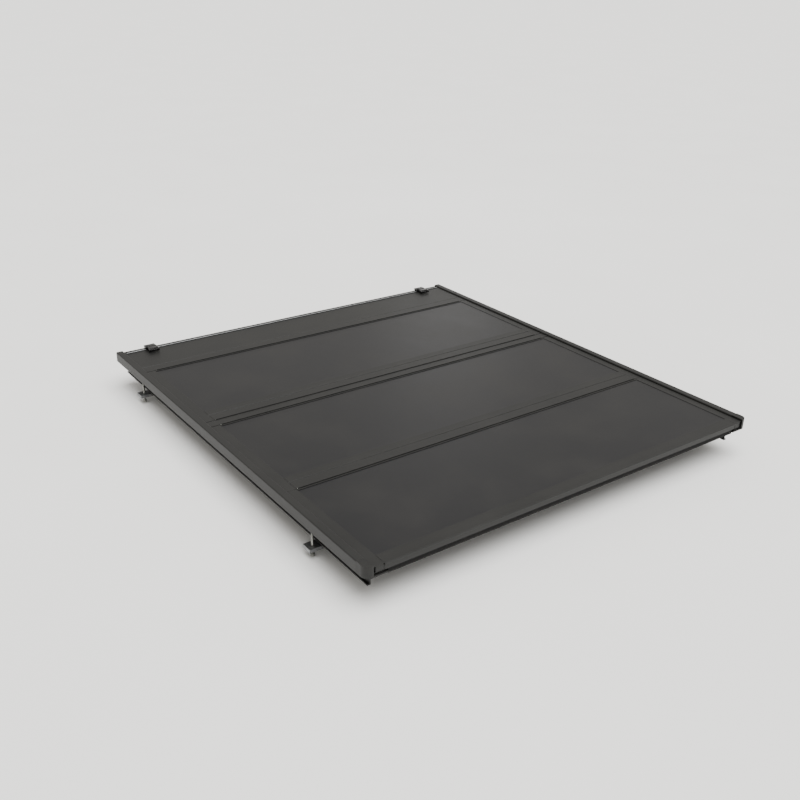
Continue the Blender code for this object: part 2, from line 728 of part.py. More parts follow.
def storage_strap(label, side, materials):
    """Side-release buckle on the header and the webbing that holds it to the front edge."""
    centre_x = side * BUCKLE_X
    low = TOP_Z + RIDGE_HEIGHT + CLEARANCE
    front = FRONT_Y - BUCKLE_FROM_FRONT
    high = low + BUCKLE_HEIGHT
    round_edge = BUCKLE_HEIGHT / 3
    back = front - BUCKLE_LENGTH
    outline = [
        (back, low),
        (front, low),
        *arc((front - round_edge, high - round_edge), round_edge, 0, 90, 3),
        *arc((back + round_edge, high - round_edge), round_edge, 90, 180, 3),
    ]
    half = BUCKLE_WIDTH / 2
    mesh = prism([outline], "X", centre_x - half, centre_x + half)
    add(f"{label}_strap_buckle", mesh, materials["gloss"])
    face = FRONT_Y + CLEARANCE
    strap_low = low + CLEARANCE
    strap_high = strap_low + STRAP_THICKNESS
    start = front + CLEARANCE
    band = [
        (start, strap_low),
        (face, strap_low),
        (face, TOP_Z - STRAP_TAIL),
        (face + STRAP_THICKNESS, TOP_Z - STRAP_TAIL),
        (face + STRAP_THICKNESS, strap_high - STRAP_THICKNESS / 2),
        (face + STRAP_THICKNESS / 2, strap_high),
        (start, strap_high),
    ]
    half = STRAP_WIDTH / 2
    mesh = prism([band], "X", centre_x - half, centre_x + half)
    add(f"{label}_strap_webbing", mesh, materials["webbing"])


def rear_extrusion(material, parent):
    """Rear edge of the cover, with a drip lip and a channel for the panel."""
    inner = REAR_Y + REAR_BAND
    web = REAR_Y + FRAME_WEB
    lip_top = TOP_Z - FRAME_LIP
    outline = [
        (REAR_Y, PANEL_BOTTOM_Z),
        (REAR_Y, lip_top - DRIP_LIP_THICKNESS),
        (REAR_Y - DRIP_LIP, lip_top - DRIP_LIP_THICKNESS),
        (REAR_Y - DRIP_LIP, lip_top),
        (REAR_Y - DRIP_LIP + FRAME_LIP, TOP_Z),
        (inner - FRAME_LIP / 2, TOP_Z),
        (inner, TOP_Z - FRAME_LIP / 2),
        (inner, lip_top),
        (web, lip_top),
        (web, PANEL_BOTTOM_Z + FRAME_LIP),
        (inner, PANEL_BOTTOM_Z + FRAME_LIP),
        (inner, PANEL_BOTTOM_Z),
    ]
    obj = add("rear_panel_rear_extrusion", prism([outline], "X", -CROSS_END_X, CROSS_END_X), material)
    carry(obj, parent)


def tailgate_seal(material, parent):
    """Rubber bulb under the rear edge, which meets the top of the tailgate."""
    low = BED_Z - TAILGATE_SEAL_DROP
    top = PANEL_BOTTOM_Z - CLEARANCE
    radius = TAILGATE_SEAL_WIDTH / 2
    centre = (REAR_Y + radius, low + radius)
    outline = [
        (REAR_Y + TAILGATE_SEAL_WIDTH, top),
        (REAR_Y, top),
        *arc(centre, radius, 180, 360, 8),
    ]
    reach = LEDGE_INNER_X - SIDE_GAP
    carry(add("tailgate_seal", prism([outline], "X", -reach, reach), material), parent)


def panel(name, rear_axis, front_axis, latches, materials, bores, parent):
    """Frame, skin and core of one panel. A rear axis of None leaves the rear end to its own extrusion."""
    gap = FRAME_END_GAP / 2
    frame_start = REAR_Y if rear_axis is None else rear_axis + gap
    for label, side in SIDES:
        side_frame(f"{name}_{label}_frame", side, frame_start, front_axis - gap, materials["frame"], parent)
    if rear_axis is None:
        board_start = REAR_Y + FRAME_WEB + CLEARANCE
    else:
        board_start = rear_axis + HINGE_BAND - CHANNEL_DEPTH + CLEARANCE
        hinges = [(rear_axis, 1, 1, bores[rear_axis])]
        hinged_extrusion(
            f"{name}_rear_extrusion", band_outline(rear_axis), CROSS_END_X, hinges,
            materials["frame"], parent,
        )
    hinges = [(front_axis, -1, 0, bores[front_axis])]
    hinged_extrusion(
        f"{name}_front_extrusion", nose_outline(front_axis), CROSS_END_X, hinges,
        materials["frame"], parent,
    )
    board_end = front_axis - HINGE_GAP / 2 - FRONT_NOSE - CLEARANCE
    panel_boards(name, board_start, board_end, materials, parent)
    if latches:
        latch_y = LATCH_FROM_REAR + (REAR_Y if rear_axis is None else rear_axis)
        for label, side in SIDES:
            latch(name, label, side, latch_y, materials, parent)
        release_cable(name, latch_y, materials["cable"], parent)


def spacer(materials, bores, parent):
    """Strip between the middle and front panels, as wide as the folded rear panel is thick."""
    ceiling = TOP_Z - HOLLOW_CEILING
    inset = HINGE_GAP / 2 + LEG_THICKNESS
    outline = [
        *hinge_edge(SPACER_REAR_Y, 1),
        *reversed(hinge_edge(SPACER_FRONT_Y, -1)),
        (SPACER_FRONT_Y - inset, PANEL_BOTTOM_Z),
        (SPACER_FRONT_Y - inset, ceiling),
        (SPACER_REAR_Y + inset, ceiling),
        (SPACER_REAR_Y + inset, PANEL_BOTTOM_Z),
    ]
    hinges = [
        (SPACER_REAR_Y, 1, 1, bores[SPACER_REAR_Y]),
        (SPACER_FRONT_Y, -1, 0, bores[SPACER_FRONT_Y]),
    ]
    hinged_extrusion("hinge_spacer", outline, PANEL_EDGE_X, hinges, materials["frame"], parent)


def main():
    """Build the whole cover."""
    clear_scene()
    materials = {
        "frame": finish("black_powder_coat", "3C3B3A", 0.5, 0.0),
        "skin": finish("matte_skin", "3A393A", 0.45),
        "core": finish("foam_core", "B9B29A", 0.9),
        "rubber": finish("epdm_rubber", "191919", 0.8),
        "plastic": finish("black_nylon", "1E1E1F", 0.55),
        "steel": finish("zinc_plated_steel", "A9A9A4", 0.35, 1.0),
        "cast": finish("cast_aluminium", "8C8D8F", 0.5, 1.0),
        "cable": finish("cable_sheath", "141414", 0.5),
        "gloss": finish("gloss_acetal", "0C0C0C", 0.15),
        "webbing": finish("polyester_webbing", "181818", 0.85),
    }
    front_pivot = joint_empty("front_hinge_axis", (0, FRONT_HINGE_Y, AXIS_Z))
    spacer_pivot = joint_empty("spacer_hinge_axis", (0, SPACER_FRONT_Y, AXIS_Z))
    middle_pivot = joint_empty("middle_hinge_axis", (0, SPACER_REAR_Y, AXIS_Z))
    rear_pivot = joint_empty("rear_hinge_axis", (0, REAR_HINGE_Y, AXIS_Z))
    bores = {
        axis_y: pin_bore(f"pin_bore_{number}", axis_y, materials["steel"])
        for number, axis_y in enumerate((REAR_HINGE_Y, SPACER_REAR_Y, SPACER_FRONT_Y, FRONT_HINGE_Y))
    }
    for label, side in SIDES:
        side_rail(label, side, materials["frame"])
        corner_cap(label, side, materials["plastic"])
        rail_seal(label, side, materials["rubber"])
        for place, distance in zip(("rear", "front"), CLAMP_FROM_REAR):
            clamp(f"{label}_{place}", side, REAR_Y + distance, materials)
        storage_strap(label, side, materials)
        prop_rod(label, side, materials, front_pivot)
    header(materials, bores[FRONT_HINGE_Y])
    bulkhead_seal(materials["rubber"])
    hinge_pin("front_hinge_pin", FRONT_HINGE_Y, materials["steel"])
    hinge_pin("spacer_front_pin", SPACER_FRONT_Y, materials["steel"], front_pivot)
    hinge_pin("spacer_rear_pin", SPACER_REAR_Y, materials["steel"], spacer_pivot)
    hinge_pin("rear_hinge_pin", REAR_HINGE_Y, materials["steel"], middle_pivot)
    panel("front_panel", SPACER_FRONT_Y, FRONT_HINGE_Y, False, materials, bores, front_pivot)
    spacer(materials, bores, spacer_pivot)
    panel("middle_panel", REAR_HINGE_Y, SPACER_REAR_Y, True, materials, bores, middle_pivot)
    panel("rear_panel", None, REAR_HINGE_Y, True, materials, bores, rear_pivot)
    rear_extrusion(materials["frame"], rear_pivot)
    tailgate_seal(materials["rubber"], rear_pivot)


main()
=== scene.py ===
"""Looks of the folding tonneau cover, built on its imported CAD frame.

Each sub-assembly is a class that builds its visible pieces in the shared frame and dresses
them in procedural finishes. Metres; X runs across the bed, +Y towards the cab, +Z up.
"""

import json
import logging
import math
from dataclasses import dataclass, field
from enum import Enum

import bmesh
import bpy
from bmesh.types import BMesh, BMVert
from bpy.types import Light, Material, Mesh, Node, NodeSocket, NodeTree, Object
from mathutils import Matrix, Quaternion, Vector

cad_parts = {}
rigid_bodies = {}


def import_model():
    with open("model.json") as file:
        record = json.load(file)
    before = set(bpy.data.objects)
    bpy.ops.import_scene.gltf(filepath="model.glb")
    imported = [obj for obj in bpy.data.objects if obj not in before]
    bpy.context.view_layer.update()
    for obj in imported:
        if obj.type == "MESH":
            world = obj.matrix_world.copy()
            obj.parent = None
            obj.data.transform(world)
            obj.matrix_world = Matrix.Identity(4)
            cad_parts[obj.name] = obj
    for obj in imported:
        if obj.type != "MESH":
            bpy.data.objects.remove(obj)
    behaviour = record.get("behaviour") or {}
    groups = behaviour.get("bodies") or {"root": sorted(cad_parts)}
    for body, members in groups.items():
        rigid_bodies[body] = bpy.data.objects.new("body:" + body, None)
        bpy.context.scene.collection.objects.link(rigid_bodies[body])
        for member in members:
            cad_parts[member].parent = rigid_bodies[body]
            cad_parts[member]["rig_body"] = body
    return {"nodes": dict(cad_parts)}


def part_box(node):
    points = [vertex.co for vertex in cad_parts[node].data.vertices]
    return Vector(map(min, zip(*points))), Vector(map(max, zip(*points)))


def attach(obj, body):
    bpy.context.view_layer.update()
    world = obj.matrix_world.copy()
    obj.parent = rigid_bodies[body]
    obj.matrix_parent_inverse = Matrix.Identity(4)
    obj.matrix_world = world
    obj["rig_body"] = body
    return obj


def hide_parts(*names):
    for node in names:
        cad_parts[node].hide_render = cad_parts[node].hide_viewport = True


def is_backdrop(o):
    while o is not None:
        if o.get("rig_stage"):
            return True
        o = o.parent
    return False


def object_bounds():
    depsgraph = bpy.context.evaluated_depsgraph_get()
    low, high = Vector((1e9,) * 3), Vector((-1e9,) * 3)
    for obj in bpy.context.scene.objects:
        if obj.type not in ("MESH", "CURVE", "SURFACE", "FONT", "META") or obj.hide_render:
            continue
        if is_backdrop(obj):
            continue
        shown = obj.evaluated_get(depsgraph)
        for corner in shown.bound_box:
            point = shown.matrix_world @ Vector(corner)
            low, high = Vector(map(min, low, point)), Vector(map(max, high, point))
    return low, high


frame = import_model()

LOG = logging.getLogger("tonneau_cover")

MM = 0.001
SHARP_ANGLE = math.radians(35)
MERGE_DISTANCE = 0.00001
SIDES = (("left", -1), ("right", 1))
PANELS = ("front", "middle", "rear")

EDGE_ROUND = 0.45 * MM
BARREL_EDGE_ROUND = 0.2 * MM
BARREL_REACH = (1.5 * MM, 2.6 * MM)
BARREL_SHRINK = 0.70
LIP_REACH = (2.6 * MM, 3.0 * MM)
LIP_FACE = 2.05 * MM
# Dark sleeve over the hinge barrels: painted shade of the gap at each fold.
SHADE_SLEEVE_RADII = (1.87 * MM, 1.71 * MM)
SHADE_SLEEVE_INSET = 3 * MM
HINGE_PINS = ("front_hinge_pin", "spacer_front_pin", "spacer_rear_pin", "rear_hinge_pin")
CAST_EDGE_ROUND = 1.4 * MM
CAP_EDGE_ROUND = 1.6 * MM
SKIN_WAVE = 0.16 * MM
LINER_WAVE = 0.10 * MM
SKIN_WAVE_LENGTHS = (0.61, 0.37)
BOARD_CELLS = (56, 18)

PLUG_INSET = 1.0 * MM
PLUG_DEPTH = 6 * MM

FASTENER_SEED = 7
DUST_COLOUR = "8E887C"
FRAME_RIVET_SPACING = 0.120
LATCH_RIB_COUNT = 5
CABLE_CLIP_SPACING = 0.190
CABLE_SAG = 1.2 * MM

RIDGE_FROM_EDGE = 25 * MM
# Pale bead on the header's ridge: a painted highlight.
HIGHLIGHT_BEAD_RADIUS = 1.6 * MM
HIGHLIGHT_BEAD_INSET = 4 * MM

THREAD_PITCH = 1.5 * MM
THREAD_DEPTH = 0.75 * MM
THREAD_STEPS = 5
THREAD_RADIUS = 4.0 * MM
THREAD_SIDES = 18

ROD_RADIUS = 4.0 * MM
ROD_LENGTH = 0.400
ROD_BEND = 10 * MM
ROD_TANG = 15 * MM
ROD_FOOT = 26 * MM
ROD_SIDES = 16

WEBBING_RIBS = 11
STITCH_LENGTH = 2.6 * MM
STITCH_RADIUS = 0.34 * MM


Pair = tuple[float, float]
Triple = tuple[float, float, float]
Outline = list[Pair]
Profile = tuple[Triple, ...]

HEAD_PROFILES: dict[str, Profile] = {
    "pan_screw": (
        (0, 0, 0), (4.0, 0, 0), (4.0, 0.5, 0), (3.4, 1.6, 0), (2.3, 2.1, 0), (1.5, 2.15, 0.1),
        (1.35, 0.8, 0.12), (0, 0.7, 0)),
    "washer_screw": (
        (0, 0, 0), (6.0, 0, 0), (6.0, 1.0, 0), (4.6, 1.05, 0), (4.5, 1.6, 0), (3.9, 3.0, 0),
        (2.5, 3.5, 0), (1.8, 3.5, 0.1), (1.6, 1.6, 0.12), (0, 1.5, 0)),
    "rivet": (
        (0, 0, 0), (3.1, 0, 0), (3.0, 0.45, 0), (2.3, 0.95, 0), (1.2, 1.2, 0), (0.75, 1.15, 0),
        (0.65, 0.7, 0), (0, 0.65, 0)),
    "stitch": (
        (0, -1.3, 0), (0.26, -1.2, 0), (0.34, -0.6, 0), (0.34, 0.6, 0), (0.26, 1.2, 0), (0, 1.3, 0)),
}
ROD_FOOT_PROFILE: Profile = (
    (0, 0, 0), (4.3, 0, 0), (5.6, 0.6, 0), (5.8, 2.5, 0), (5.2, 3.0, 0), (5.2, 4.0, 0),
    (5.8, 4.5, 0), (5.8, 12.0, 0), (5.0, 13.6, 0), (0, 14.0, 0))
CLAMP_HEAD_PROFILE: Profile = (
    (0, 0, 0), (7.5, 0, 0.06), (7.5, 6.4, 0.06), (6.8, 7.0, 0.04), (7.4, 7.2, 0), (7.4, 8, 0),
    (0, 8, 0))
CLAMP_HEAD_SWELL = 1.06
CLAMP_PAD_PROFILE: Profile = (
    (0, -4.0, 0), (8.2, -4.0, 0), (9.8, -3.2, 0), (10.0, -1.2, 0), (9.4, -1.0, 0), (9.4, -0.6, 0),
    (8, 0, 0), (5, -0.1, 0), (4.8, -0.6, 0), (0, -0.6, 0))
CLAMP_SIDES = 36
FOOT_SIDES = 24


class Slot(Enum):
    """Material slots of the part's record."""

    POWDER_COAT = "powder_coated_frame"
    SKIN = "panel_skin"
    CORE = "foam_core"
    RUBBER = "seal_rubber"
    NYLON = "black_nylon"
    STEEL = "plated_steel"
    CAST = "cast_aluminium"
    CABLE = "cable_sheath"
    GLOSS = "gloss_acetal"
    WEBBING = "strap_webbing"


class Facing(Enum):
    """Way that a fastener's head looks, as a turn from +Z in radians about X and Y."""

    UP = (0.0, 0.0)
    DOWN = (math.pi, 0.0)
    CAB = (-math.pi / 2, 0.0)
    LEFT = (0.0, -math.pi / 2)
    RIGHT = (0.0, math.pi / 2)


def linear_colour(hex_colour: str) -> tuple[float, float, float, float]:
    """Turn an sRGB hex colour into the linear colour that shaders take.

    Args:
        hex_colour: Six hex digits, such as "3A3A3B".

    Returns:
        Linear red, green and blue, and an alpha of 1.
    """
    channels = [int(hex_colour[i:i + 2], 16) / 255 for i in (0, 2, 4)]
    red, green, blue = (c / 12.92 if c <= 0.04045 else ((c + 0.055) / 1.055) ** 2.4 for c in channels)
    return red, green, blue, 1.0


def add_node(tree: NodeTree, kind: str, inputs: dict | None = None, **settings) -> Node:
    """Add a node, with its settings and its inputs as values or as sockets to link.

    Args:
        tree: Shader or geometry node tree.
        kind: Node type name.
        inputs: Value or output socket for each input, by name or number.
        settings: Properties of the node.

    Returns:
        The new node.
    """
    node = tree.nodes.new(kind)
    for name, value in settings.items():
        setattr(node, name, value)
    for name, value in (inputs or {}).items():
        if isinstance(value, NodeSocket):
            tree.links.new(value, node.inputs[name])
        else:
            node.inputs[name].default_value = value
    return node


def calc(tree: NodeTree, operation: str, *values: float | NodeSocket) -> NodeSocket:
    """Work out one value with a math node.

    Args:
        tree: Shader tree.
        operation: The node's operation.
        values: Numbers or sockets that it takes.

    Returns:
        The result.
    """
    return add_node(tree, "ShaderNodeMath", dict(enumerate(values)), operation=operation).outputs[0]


def new_material(name: str) -> tuple[Material, NodeTree, Node]:
    """Make a material whose tree holds one Principled shader and its output.

    Args:
        name: Material name.

    Returns:
        The material, its tree and the Principled node.
    """
    material = bpy.data.materials.new(name)
    material.use_nodes = True
    tree = material.node_tree
    tree.nodes.clear()
    shader = add_node(tree, "ShaderNodeBsdfPrincipled")
    add_node(tree, "ShaderNodeOutputMaterial", {"Surface": shader.outputs["BSDF"]})
    return material, tree, shader


def noise(tree: NodeTree, size: float, stretch: Triple = (1, 1, 1),
          detail: float = 3.0) -> NodeSocket:
    """Noise over the object's own coordinates.

    Args:
        tree: Shader tree.
        size: Width of one blotch in metres.
        stretch: How many times longer the blotch is along X, Y and Z.
        detail: Finer layers of the noise.

    Returns:
        The noise value, from 0 to 1.
    """
    place = add_node(tree, "ShaderNodeTexCoord")
    scale = tuple(1 / (size * s) for s in stretch)
    mapped = add_node(tree, "ShaderNodeMapping", {"Vector": place.outputs["Object"], "Scale": scale})
    made = add_node(tree, "ShaderNodeTexNoise", {
        "Vector": mapped.outputs["Vector"], "Scale": 1.0, "Detail": detail, "Roughness": 0.55})
    return made.outputs["Fac"]


def remap(tree: NodeTree, value: NodeSocket, low: float, high: float,
          start: float = 0.25, end: float = 0.75) -> NodeSocket:
    """Stretch a value onto a new range, clamped.

    Args:
        tree: Shader tree.
        value: Value to stretch.
        low: Result at start.
        high: Result at end.
        start: Value that gives low.
        end: Value that gives high.

    Returns:
        The new value.
    """
    made = add_node(tree, "ShaderNodeMapRange", {
        "Value": value, "From Min": start, "From Max": end, "To Min": low, "To Max": high})
    return made.outputs["Result"]


def blend_colours(tree: NodeTree, factor: NodeSocket, first: str,
                  second: str) -> NodeSocket:
    """Mix two hex colours by a factor.

    Args:
        tree: Shader tree.
        factor: 0 for the first colour, 1 for the second.
        first: sRGB hex colour.
        second: sRGB hex colour.

    Returns:
        The mixed colour.
    """
    ramp = add_node(tree, "ShaderNodeValToRGB", {"Fac": factor})
    ramp.color_ramp.elements[0].color = linear_colour(first)
    ramp.color_ramp.elements[1].color = linear_colour(second)
    return ramp.outputs["Color"]


@dataclass(frozen=True)
class Coating:
    """Paint, plastic, rubber or laminate: two near colours, a fine grain and uneven gloss.

    Args:
        name: Material name.
        colour: sRGB hex colour of most of it.
        other_colour: sRGB hex colour of its blotches.
        roughness: Lowest and highest roughness.
        grain: Width of the grain in metres.
        grain_height: Height of the grain in metres.
        blotch: Width of the blotches in metres.
        cells: Grain of round pebbles in place of soft waves.
        dust: Share of pale dust in the blotches.
        coat: Weight of a clear gloss layer.
        mirror: Strength of its plain reflection, where 0.5 is usual.
    """

    name: str
    colour: str
    other_colour: str
    roughness: Pair
    grain: float
    grain_height: float
    blotch: float = 0.09
    cells: bool = False
    dust: float = 0.0
    coat: float = 0.0
    mirror: float = 0.5

    def material(self) -> Material:
        """Build the node material.

        Returns:
            The material.
        """
        made, tree, shader = new_material(self.name)
        blotches = noise(tree, self.blotch, detail=5.0)
        speckle = noise(tree, self.grain * 3, detail=2.0)
        colour = blend_colours(tree, remap(tree, blotches, 0, 1), self.colour, self.other_colour)
        dusty = calc(tree, "MULTIPLY", remap(tree, blotches, 0.0, self.dust, 0.45, 0.8),
                     remap(tree, speckle, 0.3, 1.0))
        mixed = add_node(tree, "ShaderNodeMix", {
            "Factor": dusty, 6: colour, 7: linear_colour(DUST_COLOUR)}, data_type="RGBA")
        tree.links.new(mixed.outputs[2], shader.inputs["Base Color"])
        roughness = remap(tree, calc(tree, "ADD", blotches, speckle), *self.roughness, 0.7, 1.3)
        tree.links.new(roughness, shader.inputs["Roughness"])
        tree.links.new(self.grain_normal(tree), shader.inputs["Normal"])
        shader.inputs["Coat Weight"].default_value = self.coat
        shader.inputs["Specular IOR Level"].default_value = self.mirror
        return made

    def grain_normal(self, tree: NodeTree) -> NodeSocket:
        """Bump of the grain, as pebbles or as soft waves.

        Args:
            tree: Shader tree.

        Returns:
            The bumped normal.
        """
        if self.cells:
            place = add_node(tree, "ShaderNodeTexCoord")
            pebbles = add_node(tree, "ShaderNodeTexVoronoi", {
                "Vector": place.outputs["Object"], "Scale": 1 / self.grain, "Randomness": 0.85},
                feature="SMOOTH_F1")
            height = remap(tree, pebbles.outputs["Distance"], 1.0, 0.0, 0.0, 0.9)
        else:
            height = noise(tree, self.grain, detail=2.0)
        bump = add_node(tree, "ShaderNodeBump", {"Height": height, "Distance": self.grain_height})
        return bump.outputs["Normal"]


@dataclass(frozen=True)
class Metal:
    """Bare or plated metal with rolling marks and dull spots.

    Args:
        name: Material name.
        colour: sRGB hex colour of the clean metal.
        dull_colour: sRGB hex colour of the dull spots.
        roughness: Lowest and highest roughness.
        mark: Width of the marks in metres.
        stretch: Length of the marks against their width, along X, Y and Z.
        mark_height: Height of the marks in metres.
    """

    name: str
    colour: str
    dull_colour: str
    roughness: Pair
    mark: float
    stretch: Triple
    mark_height: float

    def material(self) -> Material:
        """Build the node material.

        Returns:
            The material.
        """
        made, tree, shader = new_material(self.name)
        marks = noise(tree, self.mark, self.stretch, 4.0)
        spots = noise(tree, self.mark * 14, detail=5.0)
        dulled = remap(tree, spots, 0, 1, 0.35, 0.7)
        colour = blend_colours(tree, dulled, self.colour, self.dull_colour)
        tree.links.new(colour, shader.inputs["Base Color"])
        roughness = remap(tree, calc(tree, "ADD", marks, spots), *self.roughness, 0.7, 1.3)
        tree.links.new(roughness, shader.inputs["Roughness"])
        bump = add_node(tree, "ShaderNodeBump", {"Height": marks, "Distance": self.mark_height})
        tree.links.new(bump.outputs["Normal"], shader.inputs["Normal"])
        shader.inputs["Metallic"].default_value = 1.0
        return made


@dataclass(frozen=True)
class Weave:
    """Woven strap: warp ribs along Y and Z crossed by picks.

    Args:
        name: Material name.
        colour: sRGB hex colour of the raised yarn.
        shade: sRGB hex colour between yarns, painted shade of the hollows.
        rib: Distance between warp ribs in metres.
        pick: Distance between picks in metres.
    """

    name: str
    colour: str
    shade: str
    rib: float
    pick: float

    def material(self) -> Material:
        """Build the node material.

        Returns:
            The material.
        """
        made, tree, shader = new_material(self.name)
        place = add_node(tree, "ShaderNodeTexCoord")
        axes = add_node(tree, "ShaderNodeSeparateXYZ", {0: place.outputs["Object"]})
        along = calc(tree, "SUBTRACT", axes.outputs["Y"], axes.outputs["Z"])
        waves = [calc(tree, "SINE", calc(tree, "MULTIPLY", value, math.tau / step))
                 for value, step in ((axes.outputs["X"], self.rib), (along, self.pick))]
        height = remap(tree, calc(tree, "MULTIPLY", *waves), 0.0, 1.0, -1.0, 1.0)
        fuzz = noise(tree, self.rib / 4, detail=2.0)
        # Darker in the hollows between yarns: painted shade.
        tree.links.new(blend_colours(tree, height, self.shade, self.colour), shader.inputs["Base Color"])
        tree.links.new(remap(tree, fuzz, 0.72, 0.95), shader.inputs["Roughness"])
        bump = add_node(tree, "ShaderNodeBump", {"Height": height, "Distance": self.rib / 6})
        tree.links.new(bump.outputs["Normal"], shader.inputs["Normal"])
        shader.inputs["Sheen Weight"].default_value = 0.25
        return made


FINISHES = {
    Slot.POWDER_COAT: Coating(
        "satin_powder_coat", "191918", "1D1D1C", (0.44, 0.52), 1.1 * MM, 0.035 * MM, 0.2,
        dust=0.02, mirror=0.30),
    Slot.SKIN: Coating(
        "satin_panel_skin", "111113", "141415", (0.38, 0.46), 0.9 * MM, 0.030 * MM, 0.22,
        cells=True, dust=0.03, mirror=0.34),
    Slot.CORE: Coating(
        "pebbled_underside_liner", "2B2C2D", "323334", (0.55, 0.68), 1.6 * MM, 0.12 * MM, 0.15,
        cells=True, dust=0.1),
    Slot.RUBBER: Coating(
        "seal_rubber", "0D0D0D", "131313", (0.66, 0.82), 0.6 * MM, 0.03 * MM, 0.03,
        dust=0.05, mirror=0.15),
    Slot.NYLON: Coating(
        "moulded_nylon", "171716", "1A1A19", (0.44, 0.56), 0.5 * MM, 0.03 * MM, 0.02,
        cells=True, dust=0.02, mirror=0.30),
    Slot.STEEL: Metal(
        "zinc_plated_steel", "B4B5B0", "8E8F8A", (0.24, 0.42), 0.7 * MM, (1, 1, 6), 0.02 * MM),
    Slot.CAST: Metal(
        "cast_aluminium", "9A9B9C", "7C7D7F", (0.38, 0.56), 1.2 * MM, (1, 1, 1), 0.07 * MM),
    Slot.CABLE: Coating(
        "cable_sheath", "101011", "171718", (0.35, 0.5), 1.5 * MM, 0.03 * MM, 0.02, dust=0.05),
    Slot.GLOSS: Coating(
        "gloss_acetal", "070708", "0B0B0C", (0.16, 0.26), 2.5 * MM, 0.006 * MM, 0.02,
        coat=0.1, mirror=0.4),
    Slot.WEBBING: Weave("woven_webbing", "1E1E1F", "080808", 1.5 * MM, 1.1 * MM),
}
PLACE_ALONG = {
    "X": lambda u, v, t: (t, u, v),
    "Y": lambda u, v, t: (u, t, v),
    "Z": lambda u, v, t: (u, v, t),
}


def prism(bm: BMesh, outline: Outline, axis: str, start: float, end: float) -> None:
    """Add a closed outline extruded along X, Y or Z. A corner is placed by its two other axes.

    Args:
        bm: Mesh to add to.
        outline: Corners in order.
        axis: Axis of the extrusion.
        start: Where it starts on the axis.
        end: Where it ends on the axis.
    """
    place = PLACE_ALONG[axis]
    face = bm.faces.new([bm.verts.new(place(u, v, start)) for u, v in outline])
    swept = bmesh.ops.extrude_face_region(bm, geom=[face])
    moved = [item for item in swept["geom"] if isinstance(item, BMVert)]
    bmesh.ops.translate(bm, verts=moved, vec=Vector(place(0, 0, end - start)))


def tube_section(bm: BMesh, outer: Outline, inner: Outline,
                 axis: str, start: float, end: float) -> None:
    """Add a hollow section extruded along X or Y, from two outlines with equal corner counts.

    Args:
        bm: Mesh to add to.
        outer: Outer corners in order.
        inner: Inner corners in the same order.
        axis: Axis of the extrusion.
        start: Where it starts on the axis.
        end: Where it ends on the axis.
    """
    place = PLACE_ALONG[axis]
    rings = [[bm.verts.new(place(u, v, t)) for u, v in outline]
             for t in (start, end) for outline in (outer, inner)]
    count = len(outer)
    for i in range(count):
        j = (i + 1) % count
        for first, second in ((0, 2), (3, 1), (1, 0), (2, 3)):
            bm.faces.new((rings[first][i], rings[first][j], rings[second][j], rings[second][i]))


def arc(centre: Pair, radius: float, start: float, end: float, steps: int) -> Outline:
    """Points along an arc.

    Args:
        centre: Middle of the arc.
        radius: Radius.
        start: First angle in degrees.
        end: Last angle in degrees.
        steps: Number of straight steps.

    Returns:
        The points.
    """
    angles = [math.radians(start + (end - start) * i / steps) for i in range(steps + 1)]
    return [(centre[0] + radius * math.cos(a), centre[1] + radius * math.sin(a)) for a in angles]


def rounded_outline(low: Pair, high: Pair, radius: float,
                    steps: int = 4) -> Outline:
    """Outline of a rectangle with round corners.

    Args:
        low: Lowest corner.
        high: Highest corner.
        radius: Corner radius.
        steps: Steps in each corner.

    Returns:
        The corners in order.
    """
    right, left = high[0] - radius, low[0] + radius
    top, bottom = high[1] - radius, low[1] + radius
    return (arc((right, bottom), radius, -90, 0, steps) + arc((right, top), radius, 0, 90, steps)
            + arc((left, top), radius, 90, 180, steps) + arc((left, bottom), radius, 180, 270, steps))


def lathe(bm: BMesh, profile: list[Triple], sides: int, lobes: int = 6) -> None:
    """Add a turned shape about Z from (radius, height, lobe) points that start and end on the axis.

    Args:
        bm: Mesh to add to.
        profile: Points from bottom to top. lobe is the share by which the radius swells on each lobe.
        sides: Number of sides.
        lobes: Number of lobes.
    """
    rings = []
    for radius, height, lobe in profile:
        if radius == 0:
            rings.append([bm.verts.new((0, 0, height))])
            continue
        ring = []
        for i in range(sides):
            angle = math.tau * i / sides
            swell = radius * (1 + lobe * math.cos(lobes * angle))
            ring.append(bm.verts.new((swell * math.cos(angle), swell * math.sin(angle), height)))
        rings.append(ring)
    for low, high in zip(rings, rings[1:]):
        for i in range(sides):
            j = (i + 1) % sides
            corners = [low[i % len(low)], low[j % len(low)], high[j % len(high)], high[i % len(high)]]
            bm.faces.new(list(dict.fromkeys(corners)))


def turned(profile: Profile, sides: int, lift: float = 0.0, swell: float = 1.0) -> BMesh:
    """Turned shape from a profile in millimetres.

    Args:
        profile: Points from bottom to top.
        sides: Number of sides.
        lift: Height of the profile's zero.
        swell: What the radii are divided by, to allow for the lobes.

    Returns:
        The shape.
    """
    bm = bmesh.new()
    lathe(bm, [(r * MM / swell, lift + z * MM, lobe) for r, z, lobe in profile], sides)
    return bm


def round_edges(bm: BMesh, width: float, segments: int = 2) -> None:
    """Bevel every edge that is sharper than the limit angle.

    Args:
        bm: Mesh to change.
        width: Width of the bevel.
        segments: Steps across the bevel.
    """
    sharp = [edge for edge in bm.edges if edge.is_manifold and edge.calc_face_angle(0.0) > SHARP_ANGLE]
    bmesh.ops.bevel(bm, geom=sharp, offset=width, segments=segments, profile=0.5, affect="EDGES",
                    clamp_overlap=True)


def skin_rings(bm: BMesh, rings: list[list[BMVert]]) -> None:
    """Close equal rings of points into a bar with two flat ends.

    Args:
        bm: Mesh to add to.
        rings: Rings in order, each with its points in order.
    """
    for first, second in zip(rings, rings[1:]):
        for i in range(len(first)):
            j = (i + 1) % len(first)
            bm.faces.new((first[i], first[j], second[j], second[i]))
    bm.faces.new(list(reversed(rings[0])))
    bm.faces.new(rings[-1])


